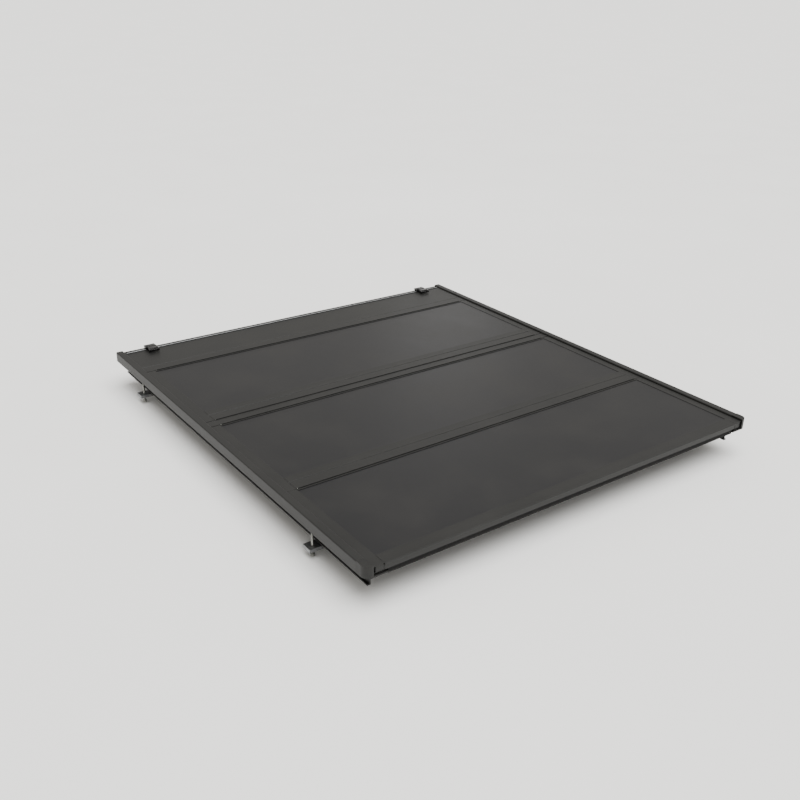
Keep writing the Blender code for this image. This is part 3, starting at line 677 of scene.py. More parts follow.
def sweep_tube(bm: BMesh, path: list[Vector], radius: float, sides: int) -> None:
    """Add a round bar along a path in a plane or nearly so, with flat ends.

    Args:
        bm: Mesh to add to.
        path: Points along the middle.
        radius: Radius of the bar.
        sides: Sides of its section.
    """
    rings = []
    side = None
    for i, point in enumerate(path):
        ahead = (path[min(i + 1, len(path) - 1)] - path[max(i - 1, 0)]).normalized()
        if side is None:
            side = ahead.orthogonal().normalized()
        side = (side - ahead * side.dot(ahead)).normalized()
        other = ahead.cross(side)
        rings.append([
            bm.verts.new(point + radius * (math.cos(a) * side + math.sin(a) * other))
            for a in (math.tau * k / sides for k in range(sides))
        ])
    skin_rings(bm, rings)


@dataclass
class Workshop:
    """Makes finished pieces on the CAD frame.

    Args:
        nodes: CAD nodes by name.
        materials: Built finishes by slot.
        made: Names of the pieces made so far.
    """

    nodes: dict[str, Object]
    materials: dict[Slot, Material] = field(default_factory=dict)
    made: list[str] = field(default_factory=list)

    def mix_finishes(self) -> None:
        """Build each finish once, by slot."""
        self.materials = {slot: finish.material() for slot, finish in FINISHES.items()}

    def body(self, node: str) -> str:
        """Body that a CAD node belongs to.

        Args:
            node: CAD node name.

        Returns:
            The body's name.
        """
        return self.nodes[node]["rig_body"]

    def place(self, name: str, bm: BMesh, slot: Slot, like: str, stands_for: tuple[str, ...] = (),
              at: Vector | None = None) -> Object:
        """Turn a mesh under construction into a finished piece.

        Args:
            name: Name of the piece.
            bm: The mesh, which is freed.
            slot: Slot of the finish.
            like: CAD node whose body carries the piece.
            stands_for: CAD nodes that the piece is shown in place of.
            at: Where to move the mesh first.

        Returns:
            The piece.
        """
        if at is not None:
            bmesh.ops.translate(bm, verts=bm.verts, vec=at)
        bmesh.ops.recalc_face_normals(bm, faces=bm.faces)
        mesh = bpy.data.meshes.new(name)
        bm.to_mesh(mesh)
        bm.free()
        return self.adopt(name, mesh, slot, like, stands_for)

    def adopt(self, name: str, mesh: Mesh, slot: Slot, like: str,
              stands_for: tuple[str, ...] = ()) -> Object:
        """Link a finished mesh, dress it and let it ride its body.

        Args:
            name: Name of the piece.
            mesh: The mesh, in the shared frame.
            slot: Slot of the finish.
            like: CAD node whose body carries the piece.
            stands_for: CAD nodes that the piece is shown in place of.

        Returns:
            The piece.
        """
        mesh.shade_smooth()
        mesh.set_sharp_from_angle(angle=SHARP_ANGLE)
        mesh.materials.clear()
        mesh.materials.append(self.materials[slot])
        obj = bpy.data.objects.new(name, mesh)
        bpy.context.scene.collection.objects.link(obj)
        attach(obj, self.body(like))
        if stands_for:
            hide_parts(*stands_for)
        self.made.append(name)
        return obj

    def copy_mesh(self, node: str) -> BMesh:
        """Merged copy of a CAD node, with flat faces joined up.

        Args:
            node: CAD node name.

        Returns:
            The copy.
        """
        bm = bmesh.new()
        bm.from_mesh(self.nodes[node].data)
        bmesh.ops.remove_doubles(bm, verts=bm.verts, dist=MERGE_DISTANCE)
        bmesh.ops.recalc_face_normals(bm, faces=bm.faces)
        bmesh.ops.dissolve_limit(bm, angle_limit=math.radians(1), verts=bm.verts, edges=bm.edges)
        return bm

    def rounded(self, node: str, slot: Slot, width: float, segments: int = 2,
                hinges: tuple["HingeLine", ...] = ()) -> Object:
        """Show a CAD node with its edges rounded.

        Args:
            node: CAD node name.
            slot: Slot of the finish.
            width: Width of the rounding.
            segments: Steps across it.
            hinges: Hinges whose barrels the node carries.

        Returns:
            The rounded piece.
        """
        bm = self.copy_mesh(node)
        for hinge in hinges:
            hinge.slim(bm)
        round_edges(bm, width, segments)
        piece = self.place(f"{node}_finished", bm, slot, node, (node,))
        piece.modifiers.new("flat_faces_stay_flat", "WEIGHTED_NORMAL").keep_sharp = True
        return piece


@dataclass
class FastenerKit:
    """Repeats fastener heads, clips and stitches with Geometry Nodes.

    Args:
        workshop: Where the pieces are made.
        heads: Head shapes by name.
        tree: Node tree that sets heads on points.
    """

    workshop: Workshop
    heads: dict[str, Object] = field(default_factory=dict)
    tree: NodeTree | None = None

    HEAD_SIDES = 24
    STITCH_SIDES = 8
    CLIP_ARC = (-40, 220, 12)
    CLIP_HALF = 4 * MM

    def build(self) -> None:
        """Make the head shapes and the node tree."""
        for name, profile in HEAD_PROFILES.items():
            sides = self.STITCH_SIDES if name == "stitch" else self.HEAD_SIDES
            self.add_head(name, turned(profile, sides))
        bm = bmesh.new()
        ring = arc((0, 0), 3.2 * MM, *self.CLIP_ARC) + arc((0, 0), 1.7 * MM, *self.CLIP_ARC)[::-1]
        tab = rounded_outline((2.6 * MM, 1.4 * MM), (11 * MM, 3.4 * MM), 0.6 * MM, 2)
        for outline in (ring, tab):
            prism(bm, outline, "X", -self.CLIP_HALF, self.CLIP_HALF)
        self.add_head("cable_clip", bm)
        self.tree = self.make_tree()

    def add_head(self, name: str, bm: BMesh) -> None:
        """Store a head shape outside the scene.

        Args:
            name: Head name.
            bm: The shape, which is freed.
        """
        bmesh.ops.recalc_face_normals(bm, faces=bm.faces)
        mesh = bpy.data.meshes.new(name)
        bm.to_mesh(mesh)
        bm.free()
        self.heads[name] = bpy.data.objects.new(name, mesh)

    def make_tree(self) -> NodeTree:
        """Geometry Nodes that set one head on every point, each turned a little differently.

        Returns:
            The node tree.
        """
        tree = bpy.data.node_groups.new("set_heads_on_points", "GeometryNodeTree")
        sockets = (("Geometry", "NodeSocketGeometry", "INPUT"), ("Head", "NodeSocketObject", "INPUT"),
                   ("Facing", "NodeSocketVector", "INPUT"), ("Turn", "NodeSocketFloat", "INPUT"),
                   ("Seed", "NodeSocketInt", "INPUT"), ("Finish", "NodeSocketMaterial", "INPUT"),
                   ("Geometry", "NodeSocketGeometry", "OUTPUT"))
        for name, kind, way in sockets:
            tree.interface.new_socket(name, in_out=way, socket_type=kind)
        given = add_node(tree, "NodeGroupInput").outputs
        points = add_node(tree, "GeometryNodeMeshToPoints", {"Mesh": given["Geometry"]})
        head = add_node(tree, "GeometryNodeObjectInfo", {"Object": given["Head"]})
        turn = add_node(tree, "FunctionNodeRandomValue", {2: 0.0, 3: given["Turn"], "Seed": given["Seed"]},
                        data_type="FLOAT")
        spun = add_node(tree, "ShaderNodeCombineXYZ", {"Z": turn.outputs[1]})
        own = add_node(tree, "FunctionNodeEulerToRotation", {0: spun.outputs[0]})
        faced = add_node(tree, "FunctionNodeEulerToRotation", {0: given["Facing"]})
        both = add_node(tree, "FunctionNodeRotateRotation", {0: faced.outputs[0], 1: own.outputs[0]},
                        rotation_space="LOCAL")
        placed = add_node(tree, "GeometryNodeInstanceOnPoints", {
            "Points": points.outputs[0], "Instance": head.outputs["Geometry"], "Rotation": both.outputs[0]})
        real = add_node(tree, "GeometryNodeRealizeInstances", {"Geometry": placed.outputs[0]})
        dressed = add_node(tree, "GeometryNodeSetMaterial", {
            "Geometry": real.outputs[0], "Material": given["Finish"]})
        add_node(tree, "NodeGroupOutput", {"Geometry": dressed.outputs[0]})
        return tree

    def set_heads(self, name: str, head: str, points: list[Triple], facing: Facing, slot: Slot,
                  like: str, turn: float = math.tau) -> Object:
        """Set heads on points as one plain mesh that rides a body.

        Args:
            name: Name of the piece.
            head: Head name.
            points: Where the heads sit.
            facing: Way that they look.
            slot: Slot of the finish.
            like: CAD node whose body carries them.
            turn: Largest chance turn about the head's own axis, in radians.

        Returns:
            The piece.
        """
        mesh = bpy.data.meshes.new(f"{name}_points")
        mesh.from_pydata(points, [], [])
        carrier = bpy.data.objects.new(f"{name}_points", mesh)
        bpy.context.scene.collection.objects.link(carrier)
        modifier = carrier.modifiers.new("heads", "NODES")
        modifier.node_group = self.tree
        values = {"Head": self.heads[head], "Facing": (*facing.value, 0.0), "Turn": turn,
                  "Seed": FASTENER_SEED, "Finish": self.workshop.materials[slot]}
        for item in self.tree.interface.items_tree:
            if item.name in values:
                modifier[item.identifier] = values[item.name]
        graph = bpy.context.evaluated_depsgraph_get()
        real = bpy.data.meshes.new_from_object(carrier.evaluated_get(graph))
        bpy.data.objects.remove(carrier, do_unlink=True)
        return self.workshop.adopt(name, real, slot, like)


@dataclass
class SubAssembly:
    """Pieces that are made together.

    Args:
        workshop: Where the pieces are made.
        kit: Fastener kit.
    """

    workshop: Workshop
    kit: FastenerKit


@dataclass
class PanelBoards(SubAssembly):
    """Skin, underside liner and framing of one folding panel.

    Args:
        name: front, middle or rear.
    """

    name: str

    def build(self) -> None:
        """Make the skin and liner, and rivet the frame's sides."""
        self.board(f"{self.name}_panel_skin", Slot.SKIN, SKIN_WAVE, 1)
        self.board(f"{self.name}_panel_core", Slot.CORE, LINER_WAVE, -1)
        for label, side in SIDES:
            frame_node = f"{self.name}_panel_{label}_frame"
            low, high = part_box(frame_node)
            middle = (low.x + high.x) / 2
            count = round((high.y - low.y) / FRAME_RIVET_SPACING)
            step = (high.y - low.y) / count
            points = [(middle, low.y + (i + 0.5) * step, low.z) for i in range(count)]
            self.kit.set_heads(f"{frame_node}_rivets", "rivet", points, Facing.DOWN, Slot.STEEL, frame_node)
            if self.name == "rear":
                self.end_plug(label, low, high)

    def end_plug(self, label: str, low: Vector, high: Vector) -> None:
        """Moulded plug that closes the tailgate end of a side frame's channel.

        Args:
            label: left or right.
            low: Lowest corner of the frame.
            high: Highest corner of the frame.
        """
        bm = bmesh.new()
        outline = rounded_outline((low.x + PLUG_INSET, low.z + PLUG_INSET),
                                  (high.x - PLUG_INSET, high.z - PLUG_INSET), 1.5 * MM, 3)
        prism(bm, outline, "Y", low.y, low.y + PLUG_DEPTH)
        round_edges(bm, 0.3 * MM, 2)
        side = f"{self.name}_panel_{label}"
        self.workshop.place(f"{side}_end_plug", bm, Slot.NYLON, f"{side}_frame")

    def board(self, node: str, slot: Slot, wave: float, facing: int) -> None:
        """Board whose outer face has the slight unevenness of a bonded sheet.

        Args:
            node: CAD node that it stands for.
            slot: Slot of the finish.
            wave: Height of the unevenness.
            facing: 1 if the top is the outer face, -1 if the bottom is.
        """
        low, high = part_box(node)
        outer, inner = (high.z, low.z) if facing > 0 else (low.z, high.z)
        columns, rows = BOARD_CELLS
        bm = bmesh.new()
        grid = []
        for j in range(rows + 1):
            y = low.y + (high.y - low.y) * j / rows
            grid.append([])
            for i in range(columns + 1):
                x = low.x + (high.x - low.x) * i / columns
                edge = math.sin(math.pi * i / columns) * math.sin(math.pi * j / rows)
                across = math.sin(math.tau * x / SKIN_WAVE_LENGTHS[0] + y)
                swell = across * math.cos(math.tau * y / SKIN_WAVE_LENGTHS[1])
                grid[-1].append(bm.verts.new((x, y, outer + facing * wave * edge * swell)))
        for j in range(rows):
            for i in range(columns):
                bm.faces.new((grid[j][i], grid[j][i + 1], grid[j + 1][i + 1], grid[j + 1][i]))
        rim = [edge for edge in bm.edges if edge.is_boundary]
        made = bmesh.ops.extrude_edge_only(bm, edges=rim)
        for item in made["geom"]:
            if isinstance(item, BMVert):
                item.co.z = inner
        bmesh.ops.holes_fill(bm, edges=[edge for edge in bm.edges if edge.is_boundary], sides=0)
        self.workshop.place(f"{node}_sheet", bm, slot, node, (node,))


@dataclass
class HingeLine:
    """Full-width pin hinge with a dark sleeve over its barrels: painted shade of the gap at the fold.

    Args:
        workshop: Where the pieces are made.
        pin: CAD node of the pin.
    """

    workshop: Workshop
    pin: str

    def build(self) -> None:
        """Make the dark sleeve over the barrels: painted shade that stands in for the black shadow line of
        the fold's gap.
        """
        low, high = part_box(self.pin)
        axis = (low + high) / 2
        outer, inner = (arc((axis.y, axis.z), radius, 0, 337.5, 15) for radius in SHADE_SLEEVE_RADII)
        bm = bmesh.new()
        tube_section(bm, outer, inner, "X", low.x + SHADE_SLEEVE_INSET, high.x - SHADE_SLEEVE_INSET)
        # Painted shade: a dark rubber tube where the fold's gap lies in shadow.
        self.workshop.place(f"{self.pin}_barrel_sleeve", bm, Slot.RUBBER, self.pin)

    def slim(self, bm: BMesh) -> None:
        """Slim the barrels about this pin and bring the lips beside them closer.

        Args:
            bm: Copy of an extrusion, which is changed near the pin only.
        """
        low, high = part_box(self.pin)
        axis = (low + high) / 2
        for vert in bm.verts:
            across, up = vert.co.y - axis.y, vert.co.z - axis.z
            reach = math.hypot(across, up)
            if BARREL_REACH[0] < reach < BARREL_REACH[1]:
                vert.co.y = axis.y + across * BARREL_SHRINK
                vert.co.z = axis.z + up * BARREL_SHRINK
            elif LIP_REACH[0] < abs(across) < LIP_REACH[1]:
                vert.co.y = axis.y + math.copysign(LIP_FACE, across)


@dataclass
class SideRail(SubAssembly):
    """Rail along one side of the bed, with its corner cap and ledge seal.

    Args:
        label: left or right.
    """

    label: str

    def build(self) -> None:
        """Make the ribbed ledge seal."""
        node = f"{self.label}_rail_seal"
        low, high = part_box(node)
        base = low.z + 1.6 * MM
        ribs = 3
        width = (high.x - low.x) / ribs
        outline = [(low.x, low.z), (high.x, low.z), (high.x, base)]
        for i in reversed(range(ribs)):
            centre = low.x + (i + 0.5) * width
            outline += [(centre + math.cos(a) * 0.42 * width, base + math.sin(a) * (high.z - base))
                        for a in (math.radians(15 + 150 * k / 6) for k in range(7))]
        outline.append((low.x, base))
        bm = bmesh.new()
        prism(bm, outline, "Y", low.y, high.y)
        self.workshop.place(f"{self.label}_ribbed_ledge_seal", bm, Slot.RUBBER, node, (node,))


@dataclass
class Header(SubAssembly):
    """Fixed section at the cab end, with the seals that meet the bed."""

    SCREWS = 8
    RAIL_WEB = 4.9 * MM
    PLATE_SKIN = 5.5 * MM
    PLATE_ROW = 12 * MM
    BULB_WALL = 2.0 * MM

    def build(self) -> None:
        """Make the bulb seals of the two ends and the header's screws."""
        self.bulb_seal("bulkhead_seal", 1)
        self.bulb_seal("tailgate_seal", -1)
        low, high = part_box("header_hinge_rail")
        across = [low.x + (high.x - low.x) * (i + 0.5) / self.SCREWS for i in range(self.SCREWS)]
        plate_low, plate_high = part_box("header_plate")
        # Painted highlight: a pale metal bead along the ridge.
        self.painted_highlight_bead(plate_low, plate_high)
        rows = (("header_hinge_screws", "header_hinge_rail", (low.y + high.y) / 2, high.z - self.RAIL_WEB),
                ("header_plate_screws", "header_plate", plate_low.y + self.PLATE_ROW,
                 plate_high.z - self.PLATE_SKIN))
        for name, node, y, z in rows:
            self.kit.set_heads(name, "pan_screw", [(x, y, z) for x in across], Facing.DOWN, Slot.STEEL, node)

    def painted_highlight_bead(self, low: Vector, high: Vector) -> None:
        """Bright bead along the crest of the header plate's ridge: a painted highlight, pale metal that
        stands in for the light the ridge catches.

        Args:
            low: Lowest corner of the header plate.
            high: Highest corner of the header plate.
        """
        crest = high.y - RIDGE_FROM_EDGE
        outline = arc((crest, high.z - 0.5 * HIGHLIGHT_BEAD_RADIUS), HIGHLIGHT_BEAD_RADIUS, -20, 200, 10)
        bm = bmesh.new()
        prism(bm, outline, "X", low.x + HIGHLIGHT_BEAD_INSET, high.x - HIGHLIGHT_BEAD_INSET)
        self.workshop.place("header_trim_bead", bm, Slot.CAST, "header_plate")

    def bulb_seal(self, node: str, way: int) -> None:
        """Hollow rubber bulb under a flat foot, with a wiper lip.

        Args:
            node: CAD node that it stands for.
            way: 1 for the cab end, -1 for the tailgate end.
        """
        low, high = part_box(node)
        radius = (high.y - low.y) / 2
        wall = self.BULB_WALL
        middle = (low.y + high.y) / 2
        centre = (middle, low.z + radius)
        top = high.z - wall
        bm = bmesh.new()
        outer = [(high.y, top), (low.y, top), *arc(centre, radius, 180, 360, 14)]
        inner = [(high.y - wall, top - wall), (low.y + wall, top - wall),
                 *arc(centre, radius - wall, 180, 360, 14)]
        tube_section(bm, outer, inner, "X", low.x, high.x)
        prism(bm, rounded_outline((low.y, top), (high.y, high.z), wall / 3, 2), "X", low.x, high.x)
        lip = middle + way * radius
        lip_outline = [(lip, centre[1] + 1 * MM), (lip - way * 1.5 * MM, centre[1] - 3 * MM),
                       (lip - way * 0.2 * MM, low.z + 1 * MM), (lip, low.z + 2 * MM)]
        prism(bm, lip_outline, "X", low.x, high.x)
        self.workshop.place(f"{node}_bulb", bm, Slot.RUBBER, node, (node,))


@dataclass
class Latch(SubAssembly):
    """Slam latch under one side of a panel.

    Args:
        panel: middle or rear.
        label: left or right.
    """

    panel: str
    label: str

    def build(self) -> None:
        """Make the housing's ribs and its screws."""
        node = f"{self.panel}_panel_{self.label}_latch_housing"
        low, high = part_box(node)
        bm = bmesh.new()
        step = (high.x - low.x) * 0.5 / LATCH_RIB_COUNT
        start = (low.x + high.x) / 2 - step * (LATCH_RIB_COUNT - 1) / 2
        for i in range(LATCH_RIB_COUNT):
            x = start + i * step
            outline = rounded_outline((x - 1 * MM, low.z - 0.8 * MM), (x + 1 * MM, low.z + 0.4 * MM),
                                      0.5 * MM, 2)
            prism(bm, outline, "Y", low.y + 8 * MM, high.y - 8 * MM)
        self.workshop.place(f"{node}_ribs", bm, Slot.NYLON, node)
        points = [(x, (low.y + high.y) / 2, low.z) for x in (low.x + 7 * MM, high.x - 7 * MM)]
        self.kit.set_heads(f"{node}_screws", "pan_screw", points, Facing.DOWN, Slot.STEEL, node)


@dataclass
class ReleaseCable(SubAssembly):
    """Cable that draws both bolts of a panel, held under the panel by clips.

    Args:
        panel: middle or rear.
    """

    panel: str

    def build(self) -> None:
        """Make the cable with its crimped ends and its clips."""
        node = f"{self.panel}_panel_release_cable"
        low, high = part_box(node)
        y, z = (low.y + high.y) / 2, (low.z + high.z) / 2
        radius = (high.z - low.z) / 2
        spans = round((high.x - low.x) / CABLE_CLIP_SPACING)
        steps = spans * 8
        path = []
        for i in range(steps + 1):
            x = low.x + (high.x - low.x) * i / steps
            sag = CABLE_SAG * math.sin(math.pi * i * spans / steps) ** 2
            path.append(Vector((x, y, z - sag)))
        bm = bmesh.new()
        sweep_tube(bm, path, radius, 12)
        self.workshop.place(f"{node}_sheath", bm, Slot.CABLE, node, (node,))
        bm = bmesh.new()
        for end, way in ((low.x, 1), (high.x, -1)):
            sleeve = [Vector((end + way * t, y, z)) for t in (0, 4 * MM, 11 * MM, 14 * MM)]
            sweep_tube(bm, sleeve, radius * 1.6, 16)
        self.workshop.place(f"{node}_ferrules", bm, Slot.STEEL, node)
        points = [(low.x + (high.x - low.x) * (i + 1) / spans, y, z) for i in range(spans - 1)]
        self.kit.set_heads(f"{node}_clips", "cable_clip", points, Facing.UP, Slot.NYLON, node, turn=0.0)


@dataclass
class PropRod(SubAssembly):
    """Rod that holds the front panel up, with its bracket and its stowing clip.

    Args:
        label: left or right.
        side: -1 or 1.
    """

    label: str
    side: int

    def build(self) -> None:
        """Make the bent rod, its rubber foot, the stowing clip and the bracket's screws."""
        node = f"{self.label}_prop_rod"
        bracket = f"{self.label}_rod_bracket"
        low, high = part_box(node)
        pivot_y, height = low.y + ROD_RADIUS, (low.z + high.z) / 2
        inner_x = (high.x if self.side < 0 else low.x) - self.side * -ROD_RADIUS
        start = Vector((inner_x, pivot_y, height))
        path = self.route(start)
        bm = bmesh.new()
        sweep_tube(bm, path, ROD_RADIUS, ROD_SIDES)
        round_edges(bm, 0.6 * MM, 2)
        self.workshop.place(f"{node}_bar", bm, Slot.STEEL, node, (node,))
        foot = path[-1] - Vector((self.side * 14 * MM, 0, 0))
        bm = turned(ROD_FOOT_PROFILE, FOOT_SIDES)
        bmesh.ops.rotate(bm, verts=bm.verts, matrix=Matrix.Rotation(self.side * math.pi / 2, 3, "Y"))
        self.workshop.place(f"{node}_rubber_foot", bm, Slot.RUBBER, node, at=foot)
        self.stow_clip(bracket, start)
        box_low, box_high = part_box(bracket)
        outer = box_high.x - 9 * MM if self.side > 0 else box_low.x + 9 * MM
        points = [(outer, y, box_high.z - 3 * MM) for y in (box_low.y + 6 * MM, box_high.y - 6 * MM)]
        self.kit.set_heads(f"{bracket}_screws", "pan_screw", points, Facing.DOWN, Slot.STEEL, bracket)

    def route(self, start: Vector) -> list[Vector]:
        """Middle line of the rod, from its tang to its foot.

        Args:
            start: Corner where the tang would meet the long leg.

        Returns:
            Points along the line.
        """
        out, along = Vector((self.side, 0, 0)), Vector((0, 1, 0))
        path = [start + out * ROD_TANG]
        steps = 8
        for k in range(steps + 1):
            a = math.radians(90 * k / steps)
            path.append(start + out * ROD_BEND * (1 - math.sin(a)) + along * ROD_BEND * (1 - math.cos(a)))
        far = start + along * ROD_LENGTH
        for k in range(steps + 1):
            a = math.radians(90 * k / steps)
            path.append(far - along * ROD_BEND * (1 - math.sin(a)) + out * ROD_BEND * (1 - math.cos(a)))
        path.append(far + out * ROD_FOOT)
        return path

    def stow_clip(self, like: str, start: Vector) -> None:
        """Open moulded clip under the panel that grips the stowed rod.

        Args:
            like: CAD node whose body carries the clip.
            start: Corner at the rod's pivot.
        """
        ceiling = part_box("front_panel_left_frame")[0].z
        centre = (start.x, start.z)
        outer = arc(centre, ROD_RADIUS + 2.2 * MM, -50, 230, 16)
        inner = list(reversed(arc(centre, ROD_RADIUS + 0.3 * MM, -50, 230, 16)))
        y = start.y + ROD_LENGTH * 0.8
        bm = bmesh.new()
        prism(bm, outer + inner, "Y", y - 7 * MM, y + 7 * MM)
        foot = rounded_outline((start.x - 11 * MM, centre[1] + ROD_RADIUS + 1.6 * MM),
                               (start.x + 11 * MM, ceiling), 0.8 * MM, 2)
        prism(bm, foot, "Y", y - 7 * MM, y + 7 * MM)
        round_edges(bm, 0.4 * MM, 2)
        self.workshop.place(f"{self.label}_rod_stowing_clip", bm, Slot.NYLON, like)


@dataclass
class RailClamp(SubAssembly):
    """Clamp that pulls a rail onto the flange of the bed.

    Args:
        name: Which clamp, such as left_rear.
        side: -1 or 1.
    """

    name: str
    side: int

    BOLT_HEIGHT = 40 * MM
    BOLT_OFFSET = 9 * MM

    def build(self) -> None:
        """Make the threaded screw with its pad and the bolt through the rail's web."""
        node = f"{self.name}_clamp_screw"
        body = f"{self.name}_clamp_body"
        low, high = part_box(node)
        axis = Vector(((low.x + high.x) / 2, (low.y + high.y) / 2, 0))
        bm = bmesh.new()
        self.thread(bm, low.z + 7 * MM, high.z - 3 * MM)
        self.workshop.place(f"{node}_thread", bm, Slot.STEEL, node, (node,), axis)
        head = turned(CLAMP_HEAD_PROFILE, CLAMP_SIDES, low.z, CLAMP_HEAD_SWELL)
        self.workshop.place(f"{node}_head", head, Slot.STEEL, node, at=axis)
        pad = turned(CLAMP_PAD_PROFILE, CLAMP_SIDES, high.z)
        self.workshop.place(f"{node}_pad", pad, Slot.RUBBER, node, at=axis)
        box_low, box_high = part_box(body)
        inboard = box_high.x if self.side < 0 else box_low.x
        facing = Facing.RIGHT if self.side < 0 else Facing.LEFT
        points = [(inboard, (box_low.y + box_high.y) / 2 + offset, box_low.z + self.BOLT_HEIGHT)
                  for offset in (-self.BOLT_OFFSET, self.BOLT_OFFSET)]
        self.kit.set_heads(f"{body}_bolts", "washer_screw", points, facing, Slot.STEEL, body)

    def thread(self, bm: BMesh, low: float, high: float) -> None:
        """Add a threaded bar about Z.

        Args:
            bm: Mesh to add to.
            low: Bottom height.
            high: Top height.
        """
        rings = []
        count = int((high - low) / THREAD_PITCH * THREAD_STEPS)
        for k in range(count + 1):
            z = low + (high - low) * k / count
            ring = []
            for i in range(THREAD_SIDES):
                turn = (z / THREAD_PITCH - i / THREAD_SIDES) % 1
                reach = THREAD_RADIUS - THREAD_DEPTH * (1 - abs(2 * turn - 1))
                angle = math.tau * i / THREAD_SIDES
                ring.append(bm.verts.new((reach * math.cos(angle), reach * math.sin(angle), z)))
            rings.append(ring)
        skin_rings(bm, rings)


@dataclass
class StorageStrap(SubAssembly):
    """Side-release buckle on the header and the webbing that holds it.

    Args:
        label: left or right.
    """

    label: str

    def build(self) -> None:
        """Make the buckle, the webbing, its stitching and its anchor screw."""
        node = f"{self.label}_strap_buckle"
        low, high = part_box(node)
        self.buckle(node, low, high)
        strap = f"{self.label}_strap_webbing"
        strap_low, strap_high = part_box(strap)
        self.webbing(strap, strap_low, strap_high, (low + high) / 2, high)
        face = strap_high.y + 1.1 * MM
        points = [((strap_low.x + strap_high.x) / 2, face, strap_low.z + 9 * MM)]
        self.kit.set_heads(f"{strap}_anchor_screw", "washer_screw", points, Facing.CAB, Slot.STEEL, strap)
        stitches = []
        half = (strap_high.x - strap_low.x) / 2 - 3 * MM
        middle = (strap_low.x + strap_high.x) / 2
        count = round(2 * half / (STITCH_LENGTH * 1.35))
        for row in (18.5 * MM, 22 * MM):
            stitches += [(middle - half + 2 * half * i / count, face + STITCH_RADIUS, strap_low.z + row)
                         for i in range(count + 1)]
        self.kit.set_heads(f"{strap}_stitches", "stitch", stitches, Facing.RIGHT, Slot.GLOSS, strap, turn=0.0)

    def buckle(self, node: str, low: Vector, high: Vector) -> None:
        """Female body, male base with two sprung arms, and their strap bars.

        Args:
            node: CAD node that it stands for.
            low: Lowest corner of that node.
            high: Highest corner of that node.
        """
        x, y0, y1 = (low.x + high.x) / 2, low.y, high.y
        z0, z1 = low.z, high.z
        bm = bmesh.new()
        body_end = y1 - 29 * MM
        shell = [(x + u * MM, y) for u, y in (
            (-19, y1 - 12 * MM), (-20.5, body_end + 7 * MM), (-17, body_end), (17, body_end),
            (20.5, body_end + 7 * MM), (19, y1 - 12 * MM))]
        prism(bm, shell, "Z", z0 + 1 * MM, z1)
        base = [(x + u * MM, y) for u, y in (
            (-19, y0 + 12 * MM), (-16, body_end - 1.2 * MM), (16, body_end - 1.2 * MM), (19, y0 + 12 * MM))]
        prism(bm, base, "Z", z0 + 1.2 * MM, z1 - 0.8 * MM)
        bars = ((y1 - 2.5 * MM, y1), (y1 - 14 * MM, y1 - 11 * MM), (y0, y0 + 2.8 * MM),
                (y0 + 10 * MM, y0 + 13 * MM))
        for start, end in bars:
            bar = rounded_outline((start, z0 + 1 * MM), (end, z1 - 2.5 * MM), 1 * MM, 3)
            prism(bm, bar, "X", x - 19 * MM, x + 19 * MM)
        for side in (-1, 1):
            for start, end in ((y1 - 14 * MM, y1), (y0, y0 + 14 * MM)):
                cheek = rounded_outline((start, z0 + 0.8 * MM), (end, z1 - 2 * MM), 1.2 * MM, 3)
                prism(bm, cheek, "X", x + side * 17 * MM, x + side * 21 * MM)
            arm = [(x + side * u * MM, body_end + v * MM) for u, v in (
                (15, -3), (19.5, -1), (23, 4), (22.6, 9), (20, 13), (18, 12), (18.4, 4))]
            prism(bm, arm, "Z", z0 + 2.6 * MM, z1 - 2.2 * MM)
        bmesh.ops.recalc_face_normals(bm, faces=bm.faces)
        round_edges(bm, 0.9 * MM, 3)
        self.workshop.place(f"{node}_halves", bm, Slot.GLOSS, node, (node,))

    def webbing(self, strap: str, low: Vector, high: Vector, middle: Vector, top: Vector) -> None:
        """Ribbed strap from the buckle's bar over the header's front edge.

        Args:
            strap: CAD node that it stands for.
            low: Lowest corner of that node.
            high: Highest corner of that node.
            middle: Middle of the buckle.
            top: Highest corner of the buckle.
        """
        bar_y, bar_z = top.y - 1.2 * MM, middle.z - 0.6 * MM
        face = high.y
        edge = high.z + 0.6 * MM
        line = [(bar_y - 9 * MM, edge - 0.4 * MM)]
        line += [(bar_y + v * MM, bar_z + w * MM) for v, w in ((-5, 3.0), (-1, 3.4), (2.2, 1.6), (2.8, -1.6))]
        line += [(bar_y + 3.6 * MM, edge), (face - 2.2 * MM, edge - 0.2 * MM),
                 (face - 0.7 * MM, edge - 1.1 * MM), (face, edge - 2.8 * MM),
                 (face + 0.2 * MM, low.z + 20 * MM), (face, low.z)]
        half = 0.8 * MM
        across = WEBBING_RIBS * 4
        width = high.x - low.x
        bm = bmesh.new()
        rows = []
        for i, (y, z) in enumerate(line):
            ahead = Vector(line[min(i + 1, len(line) - 1)]) - Vector(line[max(i - 1, 0)])
            normal = Vector((ahead.y, -ahead.x)).normalized()
            row = []
            for face_side in (1, -1):
                columns = range(across + 1) if face_side > 0 else reversed(range(across + 1))
                for k in columns:
                    ridge = half * (0.86 + 0.14 * math.cos(math.tau * WEBBING_RIBS * k / across))
                    row.append(bm.verts.new((low.x + width * k / across, y + face_side * normal.x * ridge,
                                             z + face_side * normal.y * ridge)))
            rows.append(row)
        skin_rings(bm, rows)
        self.workshop.place(f"{strap}_band", bm, Slot.WEBBING, strap, (strap,))


@dataclass(frozen=True)
class EdgeRule:
    """How the CAD nodes whose names end alike are shown with rounded edges.

    Args:
        ending: End of the nodes' names.
        slot: Slot of the finish.
        width: Width of the rounding.
        segments: Steps across it.
        hinged: Whether the nodes carry hinge barrels.
    """

    ending: str
    slot: Slot
    width: float = EDGE_ROUND
    segments: int = 2
    hinged: bool = False


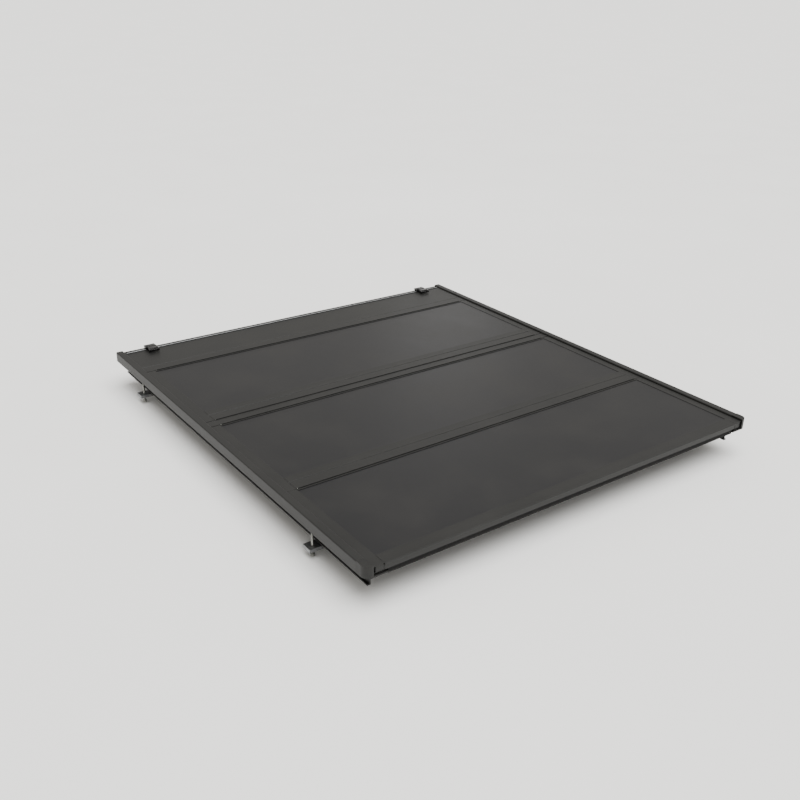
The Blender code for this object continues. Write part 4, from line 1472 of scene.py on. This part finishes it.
EDGE_RULES = (
    EdgeRule("_frame", Slot.POWDER_COAT),
    EdgeRule("rear_panel_rear_extrusion", Slot.POWDER_COAT),
    EdgeRule("_extrusion", Slot.POWDER_COAT, BARREL_EDGE_ROUND, hinged=True),
    EdgeRule("header_hinge_rail", Slot.POWDER_COAT, BARREL_EDGE_ROUND, hinged=True),
    EdgeRule("hinge_spacer", Slot.POWDER_COAT, BARREL_EDGE_ROUND, hinged=True),
    EdgeRule("header_plate", Slot.POWDER_COAT),
    EdgeRule("_side_rail", Slot.POWDER_COAT),
    EdgeRule("_rod_bracket", Slot.POWDER_COAT),
    EdgeRule("_pin", Slot.STEEL, BARREL_EDGE_ROUND),
    EdgeRule("_latch_bolt", Slot.STEEL),
    EdgeRule("_latch_housing", Slot.NYLON),
    EdgeRule("_corner_cap", Slot.NYLON, CAP_EDGE_ROUND, 3),
    EdgeRule("_clamp_body", Slot.CAST, CAST_EDGE_ROUND, 3),
)


def round_nodes(workshop: Workshop, hinges: tuple[HingeLine, ...]) -> None:
    """Show every hard CAD node with rounded edges, by the first rule that fits its name.

    Args:
        workshop: Where the pieces are made.
        hinges: Every hinge of the cover.
    """
    for node in sorted(workshop.nodes):
        rule = next((rule for rule in EDGE_RULES if node.endswith(rule.ending)), None)
        if rule is not None:
            carried = hinges if rule.hinged else ()
            workshop.rounded(node, rule.slot, rule.width, rule.segments, carried)


@dataclass
class Studio:
    """Pale floor, soft lights and the camera.

    Args:
        azimuth: Camera's angle round the object, 0 looking along +Y, in degrees.
        elevation: Camera's angle above the horizon, in degrees.
        roll: Camera's turn about its own view line, in degrees.
        distance: From the camera to what it looks at.
        aim: What it looks at.
        lens: Focal length in millimetres.
    """

    azimuth: float = -36.48
    elevation: float = 25.17
    roll: float = 1.43
    distance: float = 3.368
    aim: Triple = (-0.1195, -0.0829, 0.0316)
    lens: float = 42.54

    FLOOR_SIZE = 400.0
    FLOOR_DROP = 0.5 * MM
    WORLD_COLOUR = "E8E5E0"
    WORLD_STRENGTH = 0.90

    def build(self) -> None:
        """Set up the floor, the lights and the camera."""
        self.floor()
        self.world()
        self.broad_light("overhead", (0.2, -0.9, 3.4), 60.0, 4.9)
        self.area_light("rear_left_strip", (-1.2, -3.2, 1.9), (0, -0.6, 0), (3.0, 0.30), 8.0)
        self.area_light("right_glow", (2.6, 3.0, 1.3), (0.5, 0.5, 0), (0.8, 0.9), 2.5)
        self.camera()

    def floor(self) -> None:
        """Plain pale floor just under the lowest piece."""
        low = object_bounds()[0]
        half = self.FLOOR_SIZE / 2
        height = low[2] - self.FLOOR_DROP
        corners = ((-half, -half), (half, -half), (half, half), (-half, half))
        bm = bmesh.new()
        bm.faces.new([bm.verts.new((x, y, height)) for x, y in corners])
        mesh = bpy.data.meshes.new("pale_floor")
        bm.to_mesh(mesh)
        bm.free()
        finish = Coating("pale_floor_paint", "EEEEEC", "F1F1EF", (0.8, 0.9), 4 * MM, 0.02 * MM, 0.6)
        mesh.materials.append(finish.material())
        obj = bpy.data.objects.new("pale_floor", mesh)
        bpy.context.scene.collection.objects.link(obj)
        obj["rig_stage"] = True

    def world(self) -> None:
        """Even pale surroundings."""
        world = bpy.data.worlds.new("soft_surroundings")
        world.use_nodes = True
        bpy.context.scene.world = world
        background = world.node_tree.nodes["Background"]
        background.inputs["Color"].default_value = linear_colour(self.WORLD_COLOUR)
        background.inputs["Strength"].default_value = self.WORLD_STRENGTH

    def add_light(self, name: str, light: Light, place: Triple,
                  target: Triple) -> None:
        """Hang a light aimed at a point.

        Args:
            name: Name of the light.
            light: The light itself.
            place: Where it is.
            target: What it is aimed at.
        """
        obj = bpy.data.objects.new(name, light)
        bpy.context.scene.collection.objects.link(obj)
        obj.location = place
        obj.rotation_euler = (Vector(place) - Vector(target)).to_track_quat("Z", "Y").to_euler()

    def broad_light(self, name: str, place: Triple, spread: float, power: float) -> None:
        """Wide soft light that falls evenly on the whole floor.

        Args:
            name: Name of the light.
            place: Direction that it shines from.
            spread: Width of its disc as seen from the floor, in degrees.
            power: Watts on each square metre.
        """
        light = bpy.data.lights.new(name, "SUN")
        light.angle = math.radians(spread)
        light.energy = power
        self.add_light(name, light, place, (0, 0, 0))

    def area_light(self, name: str, place: Triple, target: Triple,
                   size: Pair, power: float) -> None:
        """Rectangular soft light aimed at a point.

        Args:
            name: Name of the light.
            place: Where it is.
            target: What it is aimed at.
            size: Its width and height.
            power: Power in watts.
        """
        light = bpy.data.lights.new(name, "AREA")
        light.shape = "RECTANGLE"
        light.energy = power
        light.size, light.size_y = size
        self.add_light(name, light, place, target)

    def camera(self) -> None:
        """Camera at its angles round the aim point."""
        turn, rise = math.radians(self.azimuth), math.radians(self.elevation)
        back = Vector((math.sin(turn) * math.cos(rise), -math.cos(turn) * math.cos(rise), math.sin(rise)))
        data = bpy.data.cameras.new("view_camera")
        data.lens = self.lens
        obj = bpy.data.objects.new("view_camera", data)
        bpy.context.scene.collection.objects.link(obj)
        obj.location = Vector(self.aim) + back * self.distance
        look = back.to_track_quat("Z", "Y")
        rolled = look @ Quaternion((0, 0, 1), math.radians(self.roll))
        obj.rotation_euler = rolled.to_euler()
        bpy.context.scene.camera = obj


def main() -> None:
    """Build every sub-assembly in order, then the studio."""
    logging.basicConfig(level=logging.INFO, format="%(name)s: %(message)s")
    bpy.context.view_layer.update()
    workshop = Workshop(frame["nodes"])
    workshop.mix_finishes()
    kit = FastenerKit(workshop)
    kit.build()
    hinges = tuple(HingeLine(workshop, pin) for pin in HINGE_PINS)
    round_nodes(workshop, hinges)
    for hinge in hinges:
        hinge.build()
    assemblies = [PanelBoards(workshop, kit, name) for name in PANELS]
    assemblies.append(Header(workshop, kit))
    for panel in ("middle", "rear"):
        assemblies.append(ReleaseCable(workshop, kit, panel))
        assemblies += [Latch(workshop, kit, panel, label) for label, _ in SIDES]
    for label, side in SIDES:
        assemblies += [SideRail(workshop, kit, label), PropRod(workshop, kit, label, side),
                       StorageStrap(workshop, kit, label)]
        assemblies += [RailClamp(workshop, kit, f"{label}_{place}", side) for place in ("rear", "front")]
    for assembly in assemblies:
        assembly.build()
    Studio().build()


if __name__ == "__main__":
    main()
